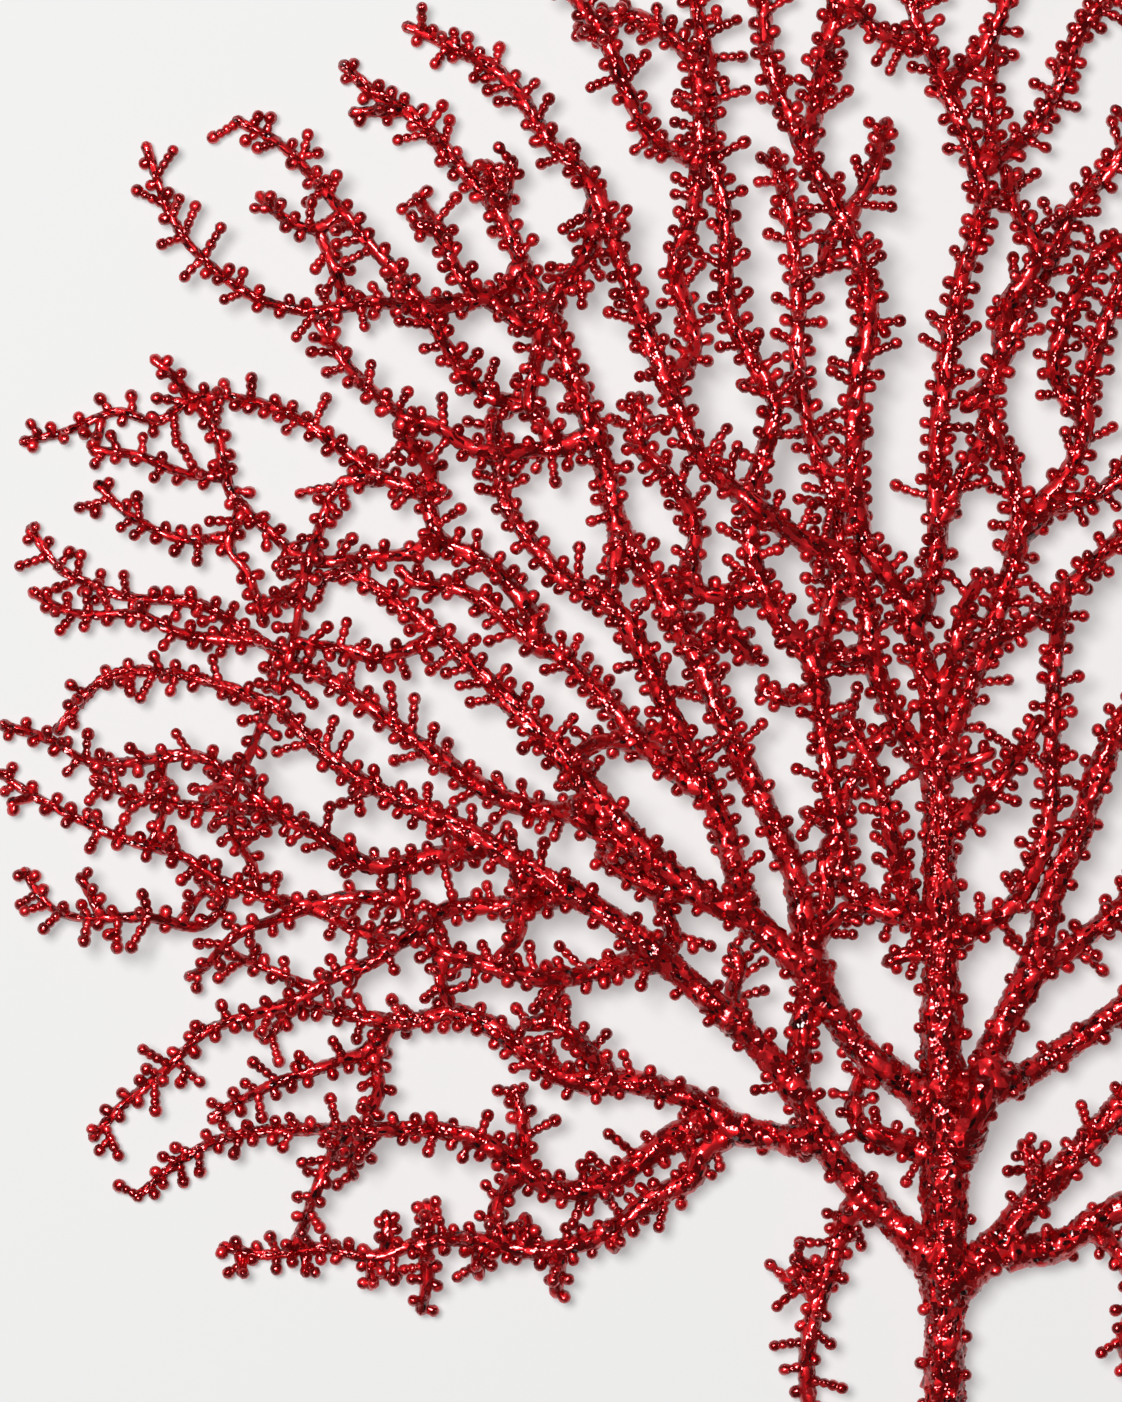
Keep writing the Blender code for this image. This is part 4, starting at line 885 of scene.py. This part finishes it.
# The twigs: strings of small beads on both sides of a branch, and single ones on top.
# Angles and rises are in degrees, and plain numbers for lengths are millimetres.
twigs = {
    "firstPlace": (2, 5), "tipClear": 2.0 * mm,
    "spacing": (2.1 * mm, 4.6 * mm), "topSpacing": (12.0 * mm, 32.0 * mm),
    "bareRadius": 2.5 * mm, "bareSpacing": 2.4,
    "singleShare": 0.58, "longShare": 0.12,
    "single": (1.7, 2.4), "short": (2.8 * mm, 4.8 * mm), "long": (4.8 * mm, 7.6 * mm),
    "angle": (46.0, 88.0), "rise": (-16, 20), "topRise": (35, 88),
    "lean": (-0.3, 0.6), "bend": 0.03, "rootShare": 0.85,
    "tries": 4, "shorter": 0.16, "steeper": 12,
    "touch": 0.35 * mm, "ownReach": 5.0 * mm, "lowest": 0.96,
    "forkShare": 0.65, "forkAngle": (40, 70), "forkLength": (2.4, 5.0), "forkRoot": 1.0 * mm,
    "forkApart": 1.8 * mm, "samePlace": 1e-7,
}


def twigAt(spine, k, side, angle, rise, length, draw):
    # A twig from the centre line, turned from the branch's heading to one side, and up
    ahead = spine["route"][min(k + 1, len(spine["route"]) - 1)] - spine["route"][max(k - 1, 0)]
    turn = math.atan2(ahead[1], ahead[0]) + side * math.radians(angle)
    heading = np.array([math.cos(turn) * math.cos(rise), math.sin(turn) * math.cos(rise),
                        math.sin(rise)])
    sideways = np.array([-math.sin(turn), math.cos(turn), draw.uniform(*twigs["lean"])])
    bend = sideways * draw.uniform(-twigs["bend"], twigs["bend"]) / mm
    surface = twigs["rootShare"] * spine["radius"][k]
    return beadString(spine["line"][k], heading, bend, surface, length, draw)


def growTwigs(number, spine, taken, grown):
    # On each side a twig every few millimetres, closer in the fan's crowded middle, by
    # chance one bead, two or three, or a longer string that may fork, and single beads
    # over the top. Thick limbs have few.
    draw = random.Random(spine["name"] + " twigs")
    for side in (-1, 1, 0):
        at = draw.uniform(*twigs["firstPlace"]) * mm
        while at < spine["along"][-1] - twigs["tipClear"]:
            k = int(np.searchsorted(spine["along"], at))
            thick = spine["radius"][k] > twigs["bareRadius"]
            kind = draw.random()
            for attempt in range(twigs["tries"]):
                reach = draw.uniform(*twigs["single"]) * mm
                if side and not thick and kind > twigs["singleShare"]:
                    size = "long" if kind > 1 - twigs["longShare"] else "short"
                    reach = draw.uniform(*twigs[size])
                    reach *= 1 - twigs["shorter"] * attempt
                angle = draw.uniform(*twigs["angle"])
                low, high = twigs["rise"]
                rise = draw.uniform(low, high + twigs["steeper"] * attempt)
                if not side:
                    rise = draw.uniform(*twigs["topRise"])
                twig = twigAt(spine, k, side or draw.choice((-1, 1)), angle, math.radians(rise),
                              spine["radius"][k] + reach, draw)
                near = (taken[2] == number) & (np.abs(taken[3] - at) < twigs["ownReach"])
                if isFree(twig, taken, near, solidTop):
                    take(twig, taken)
                    grown.append((spine["piece"], twig))
                    if len(twig["centres"]) > 2 and draw.random() < twigs["forkShare"]:
                        forkTwig(spine, twig, taken, grown, draw)
                    break
            spread = np.interp(spine["route"][k, 0], crowd["places"], crowd["spacing"])
            sparse = twigs["bareSpacing"] if thick else 1
            at += draw.uniform(*twigs["spacing" if side else "topSpacing"]) * spread * sparse


def forkTwig(spine, twig, taken, grown, draw):
    # A short second string from a bead halfway out, turned away from the first
    middle = len(twig["centres"]) // 2 - 1
    base = placesOn(twig, twig["centres"][middle])
    turn = draw.choice((-1, 1)) * math.radians(draw.uniform(*twigs["forkAngle"]))
    x, y, z = twig["heading"]
    turned = np.array([x * math.cos(turn) - y * math.sin(turn),
                       x * math.sin(turn) + y * math.cos(turn), z])
    length = draw.uniform(*twigs["forkLength"]) * mm
    fork = beadString(base, turned, 0 * turned, twigs["forkRoot"], length, draw)
    places = placesOn(fork, fork["centres"])
    own = placesOn(twig, twig["centres"])
    apart = distances(places, own[middle + 1:]).min()
    onTwig = distances(taken[0], own).min(axis=1) < twigs["samePlace"]
    if apart > twigs["forkApart"] and isFree(fork, taken, onTwig, np.inf):
        take(fork, taken)
        grown.append((spine["piece"], fork))


def ringStations(centres, radii):
    # Rings of a bead string: one at its root, three round each bead, one at the neck
    # between two beads, and one near the tip
    neck = bead["neck"]
    places = [0 * centres[:, 0]]
    sizes = [neck * radii[:, 0]]
    for k in range(centres.shape[1]):
        centre, radius = centres[:, k], radii[:, k]
        if k:
            share = before / (before + radius)
            places.append(last + (centre - last) * share)
            sizes.append(neck * np.minimum(before, radius))
        for off, size in bead["rings"]:
            places.append(centre + off * radius)
            sizes.append(size * radius)
        last, before = centre, radius
    off, size = bead["lastRing"]
    places.append(centre + off * radius)
    sizes.append(size * radius)
    return np.stack(places, 1), np.stack(sizes, 1)


def dressTwigs(shell, grown):
    # All bead strings with the same number of beads at once, their rings a little uneven
    sides = np.arange(bead["sides"])
    angle = 2 * math.pi * sides / bead["sides"]
    for count in sorted({len(twig["centres"]) for twig in grown}):
        alike = [twig for twig in grown if len(twig["centres"]) == count]
        base, heading, bend, centres, radii, tone = (
            np.array([twig[key] for twig in alike])
            for key in ("base", "heading", "bend", "centres", "radii", "tone"))
        places, sizes = ringStations(centres, radii)
        every = np.concatenate([places, centres[:, -1:] + radii[:, -1:]], 1)[..., None]
        lines = base[:, None] + heading[:, None] * every + bend[:, None] * every**2
        rough = scatter(np.arange(sizes.size).reshape(sizes.shape)[..., None], sides, count)
        across = sizes[..., None] * (1 + bead["unevenness"] * (rough - 0.5))
        rings = sweep(lines[:, :-1], across, angle)
        tone = tone[:, None, None] + 0 * across
        far = places[..., None] + 0 * across
        sheet = np.stack([far, angle * bead["endSizes"][0] + 0 * across, tone], -1)
        fields = {"tone": tone, "pit": 0 * tone, "bead": 0 * tone + 1, "sheet": sheet}
        addTubes(shell, rings, lines[:, 0], lines[:, -1], fields)


def newObject(name, data):
    item = bpy.data.objects.new(name, data)
    bpy.context.scene.collection.objects.link(item)
    return item


def makePiece(node, shell, material):
    # One mesh from a shell, moved from the stem's foot to its place in the frame
    points = np.concatenate(shell["points"]) + foot
    points[:, 2] = np.clip(points[:, 2], 0, solidTop)
    quads = np.concatenate(shell["quads"])
    triangles = np.concatenate(shell["triangles"])
    corners = np.concatenate([quads.ravel(), triangles.ravel()]).astype(np.int32)
    starts = np.concatenate([4 * np.arange(len(quads)),
                             quads.size + 3 * np.arange(len(triangles))]).astype(np.int32)
    mesh = bpy.data.meshes.new(node + "_coral")
    mesh.vertices.add(len(points))
    mesh.vertices.foreach_set("co", points.astype(np.float32).ravel())
    mesh.loops.add(len(corners))
    mesh.loops.foreach_set("vertex_index", corners)
    mesh.polygons.add(len(starts))
    mesh.polygons.foreach_set("loop_start", starts)
    mesh.update(calc_edges=True)
    for key in ("tone", "pit", "bead", "sheet"):
        kind, entry = ("FLOAT_VECTOR", "vector") if key == "sheet" else ("FLOAT", "value")
        values = np.concatenate(shell[key]).astype(np.float32)
        mesh.attributes.new(key, kind, "POINT").data.foreach_set(entry, values)
    mesh.shade_smooth()
    mesh.materials.append(material)
    piece = newObject(node + "_coral", mesh)
    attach(piece, "root")
    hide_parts(node)
    return 2 * len(quads) + len(triangles)


def toLinear(code):
    # An sRGB hex colour as linear numbers
    values = [int(code[k:k + 2], 16) / 255 for k in (1, 3, 5)]
    return [v / 12.92 if v <= 0.04045 else ((v + 0.055) / 1.055)**2.4 for v in values] + [1]


def addNode(tree, kind, inputs, **settings):
    # Adds a node, sets its own settings, and sets or links its inputs by name or number
    node = tree.nodes.new(kind)
    for key, value in settings.items():
        setattr(node, key, value)
    for key, value in inputs.items():
        if isinstance(value, bpy.types.NodeSocket):
            tree.links.new(value, node.inputs[key])
        else:
            node.inputs[key].default_value = value
    return node


def combine(tree, operation, *values):
    # One step of arithmetic with numbers
    return addNode(tree, "ShaderNodeMath", dict(enumerate(values)), operation=operation).outputs[0]


def combineVectors(tree, operation, *values):
    # One step of arithmetic with vectors. Only a dot product has its result second.
    node = addNode(tree, "ShaderNodeVectorMath", dict(enumerate(values)), operation=operation)
    return node.outputs[1 if operation == "DOT_PRODUCT" else 0]


def mapRange(tree, *values):
    # A value's way between two limits, as the same way from 0 to 1 or between two others
    return addNode(tree, "ShaderNodeMapRange", dict(enumerate(values))).outputs[0]


def foil(tree, place, size, slope):
    # Crumpled foil: cells of that size, each a flat face leaning its own way. The height
    # is the way from the cell's centre times the cell's random lean.
    cells = addNode(tree, "ShaderNodeTexVoronoi", {"Vector": place, "Scale": 1 / size})
    away = combineVectors(tree, "SUBTRACT", place, cells.outputs["Position"])
    lean = combineVectors(tree, "SUBTRACT", cells.outputs["Color"], (0.5, 0.5, 0.5))
    height = combineVectors(tree, "DOT_PRODUCT", away, lean)
    return combine(tree, "MULTIPLY", height, 2 * slope), cells.outputs["Color"]


# The lacquer: the size and slope of its foil, its reds and the shade at which each is, the
# near-black painted shade in its pits and spots, and its gloss. Ranges are two limits and what they
# turn into, 0 and 1 if not given.
lacquer = {
    "wideFoil": (1.25 * mm, 0.28), "fineFoil": (0.6 * mm, 0.34), "foilStretch": (0.6, 1.0, 1.0),
    "flatCells": (0.64, 0.68), "flatCalm": -0.85, "beadCalm": -0.62, "facetTone": 0.1,
    "darkRed": (0.1, "#860005"), "middleRed": (0.6, "#B60209"), "paleRed": (0.8, "#DC2228"),
    # The pits' colour is painted shade: near-black where the skin dips and in small spots
    "paintedPitShade": "#2E0002", "pitRange": (0.3, 0.5),
    "shadeSpotStretch": (0.42, 1.0, 1.0), "shadeSpotSpacing": 1.05 * mm,
    "shadeSpotRange": (0.45, 1.0, 0.0, 0.4), "shadeSpotEdge": 0.06,
    "roughRange": (0.4, 0.8, 0.28, 0.5), "metallic": 0.8, "tint": "#FF1010",
    "coat": 1.0, "coatRoughness": 0.07, "coatIndex": 1.6,
}


def redLacquerOnCoral():
    # Coral skin under a deep red metallic lacquer: foil-like facets, long the branch's way, that
    # catch the light one by one, small flakes that spark between the flatter and paler ones,
    # near-black painted shade in its pits and in small spots, and a clear gloss over it all
    material = bpy.data.materials.new("red_lacquer_on_coral")
    material.use_nodes = True
    tree = material.node_tree
    tree.nodes.clear()

    def field(name, output):
        return addNode(tree, "ShaderNodeAttribute", {}, attribute_name=name).outputs[output]

    sheet = field("sheet", "Vector")
    tone = field("tone", "Fac")
    pit = field("pit", "Fac")
    onBead = field("bead", "Fac")

    # The foil's height: wide facets, and fine flakes that are calm on flat cells. Beads
    # have a smaller share of both.
    longer = combineVectors(tree, "MULTIPLY", sheet, lacquer["foilStretch"])
    wide, wideShade = foil(tree, longer, *lacquer["wideFoil"])
    fine = foil(tree, sheet, *lacquer["fineFoil"])[0]
    shade = addNode(tree, "ShaderNodeSeparateColor", {"Color": wideShade}).outputs[2]
    flat = mapRange(tree, shade, *lacquer["flatCells"])
    keen = combine(tree, "MULTIPLY_ADD", flat, lacquer["flatCalm"], 1.0)
    height = combine(tree, "ADD", wide, combine(tree, "MULTIPLY", fine, keen))
    calm = combine(tree, "MULTIPLY_ADD", onBead, lacquer["beadCalm"], 1.0)
    height = combine(tree, "MULTIPLY", height, calm)
    bump = addNode(tree, "ShaderNodeBump", {"Strength": 1.0, "Distance": 1.0,
                                            "Height": height}).outputs[0]

    # The red: each facet's own shade, a little changed by its tone
    mixed = combine(tree, "MULTIPLY_ADD", tone, lacquer["facetTone"], shade)
    reds = addNode(tree, "ShaderNodeValToRGB", {"Fac": mixed})
    ramp = reds.color_ramp
    for key, element in zip(("darkRed", "paleRed"), ramp.elements):
        element.position, element.color = lacquer[key][0], toLinear(lacquer[key][1])
    ramp.elements.new(lacquer["middleRed"][0]).color = toLinear(lacquer["middleRed"][1])

    # The painted shade: near-black in the skin's pits, and in small long spots in some cells that
    # stand for pits, none on beads
    slim = combineVectors(tree, "MULTIPLY", sheet, lacquer["shadeSpotStretch"])
    grains = addNode(tree, "ShaderNodeTexVoronoi", {"Vector": slim,
                                                    "Scale": 1 / lacquer["shadeSpotSpacing"]})
    own = addNode(tree, "ShaderNodeSeparateColor", {"Color": grains.outputs["Color"]}).outputs[0]
    size = mapRange(tree, own, *lacquer["shadeSpotRange"])
    inside = combine(tree, "SUBTRACT", size, grains.outputs["Distance"])
    shadeSpot = mapRange(tree, inside, 0.0, lacquer["shadeSpotEdge"])
    shadeSpot = combine(tree, "MULTIPLY", shadeSpot, combine(tree, "SUBTRACT", 1.0, onBead))
    paintedPitShade = combine(tree, "MAXIMUM", mapRange(tree, pit, *lacquer["pitRange"]), shadeSpot)
    # The red darkened to near-black where shade is painted
    color = addNode(tree, "ShaderNodeMix", {0: paintedPitShade, 6: reds.outputs[0],
                                            7: toLinear(lacquer["paintedPitShade"])}, data_type="RGBA")

    shader = addNode(tree, "ShaderNodeBsdfPrincipled", {
        "Base Color": color.outputs[2], "Roughness": mapRange(tree, mixed, *lacquer["roughRange"]),
        "Metallic": lacquer["metallic"], "Specular Tint": toLinear(lacquer["tint"]),
        "Coat Weight": lacquer["coat"], "Coat Roughness": lacquer["coatRoughness"],
        "Coat IOR": lacquer["coatIndex"], "Coat Normal": bump, "Normal": bump})
    addNode(tree, "ShaderNodeOutputMaterial", {"Surface": shader.outputs[0]})
    return material


paper = {"color": "#A8A8A7", "roughness": 0.9, "glow": 0.39, "half": 2.0, "drop": 0.05 * mm}


def palePaper():
    # Matte pale paper, lit a little from within so that its shadows stay faint
    material = bpy.data.materials.new("pale_paper")
    material.use_nodes = True
    shader = material.node_tree.nodes["Principled BSDF"]
    shader.inputs["Base Color"].default_value = toLinear(paper["color"])
    shader.inputs["Roughness"].default_value = paper["roughness"]
    shader.inputs["Emission Color"].default_value = (1, 1, 1, 1)
    shader.inputs["Emission Strength"].default_value = paper["glow"]
    return material


def layFloor():
    half = paper["half"]
    corners = [(x, y, -paper["drop"]) for x, y in
               ((-half, -half), (half, -half), (half, half), (-half, half))]
    mesh = bpy.data.meshes.new("floor")
    mesh.from_pydata(corners, [], [(0, 1, 2, 3)])
    mesh.materials.append(palePaper())
    newObject("floor", mesh)


studio = {"place": (-0.50, 0.32, 1.8), "aim": (-0.07, 0.0, 0.0), "size": 0.74, "watts": 43.0,
          "sky": 0.05}


def lightStudio():
    # One square soft light, turned to face a point on the fan, and a faint even sky
    light = bpy.data.lights.new("key", "AREA")
    light.size = studio["size"]
    light.energy = studio["watts"]
    lamp = newObject("key", light)
    lamp.location = studio["place"]
    away = lamp.location - type(lamp.location)(studio["aim"])
    lamp.rotation_euler = away.to_track_quat("Z", "Y").to_euler()
    world = bpy.data.worlds.new("studio")
    world.use_nodes = True
    sky = world.node_tree.nodes["Background"]
    sky.inputs["Color"].default_value = (1, 1, 1, 1)
    sky.inputs["Strength"].default_value = studio["sky"]
    bpy.context.scene.world = world
    bpy.context.scene.view_settings.view_transform = "Standard"


view = {"lens": 180.0, "sensor": 36.0, "height": 0.2804, "middle": (-0.0736, -0.0126, 0.008),
        "farthest": 20}


def placeCamera():
    # Straight down, over the middle of the picture's view of the fan, up the stem's way
    camera = bpy.data.cameras.new("camera")
    camera.lens = view["lens"]
    camera.sensor_width = view["sensor"]
    camera.clip_end = view["farthest"]
    holder = newObject("camera", camera)
    x, y, z = view["middle"]
    holder.location = (x, y, z + view["height"] * view["lens"] / view["sensor"])
    bpy.context.scene.camera = holder


def main():
    laid = layAll()
    layShoots(laid)
    print("laid", len(laid), "branches", round(sum(s["along"][-1] for s in laid), 2), "m")
    grown = []
    tips = []
    solids = laid[:len(branchTable)]
    for piece in dict.fromkeys(spine["piece"] for spine in solids):
        for spine in solids:
            if spine["piece"] != piece:
                continue
            for k, reach in solidTwigs(spine, solids, tips):
                far = np.linalg.norm(reach)
                surface = twigs["rootShare"] * spine["radius"][k]
                twig = beadString(spine["line"][k], reach / far, 0 * reach, surface, far,
                                  random.Random(f"{spine['name']}{k}"))
                grown.append((piece, twig))
    thicken(laid)
    taken = takenBy(laid)
    for piece, twig in grown:
        take(twig, taken)
    print("twigs of the solids", len(grown))
    for number, spine in enumerate(laid):
        growTwigs(number, spine, taken, grown)
    beads = sum(len(twig["centres"]) for piece, twig in grown)
    print("twigs", len(grown), "with", beads, "beads")
    material = redLacquerOnCoral()
    counts = []
    for node in frame["nodes"]:
        shell = newShell()
        for spine in laid:
            if spine["piece"] == node:
                dressBranch(shell, spine, laid)
        dressTwigs(shell, [twig for piece, twig in grown if piece == node])
        counts.append(makePiece(node, shell, material))
    print("pieces", len(counts), "triangles", sum(counts), "most in one", max(counts))
    layFloor()
    lightStudio()
    placeCamera()
    print("floor, light and camera placed")


main()
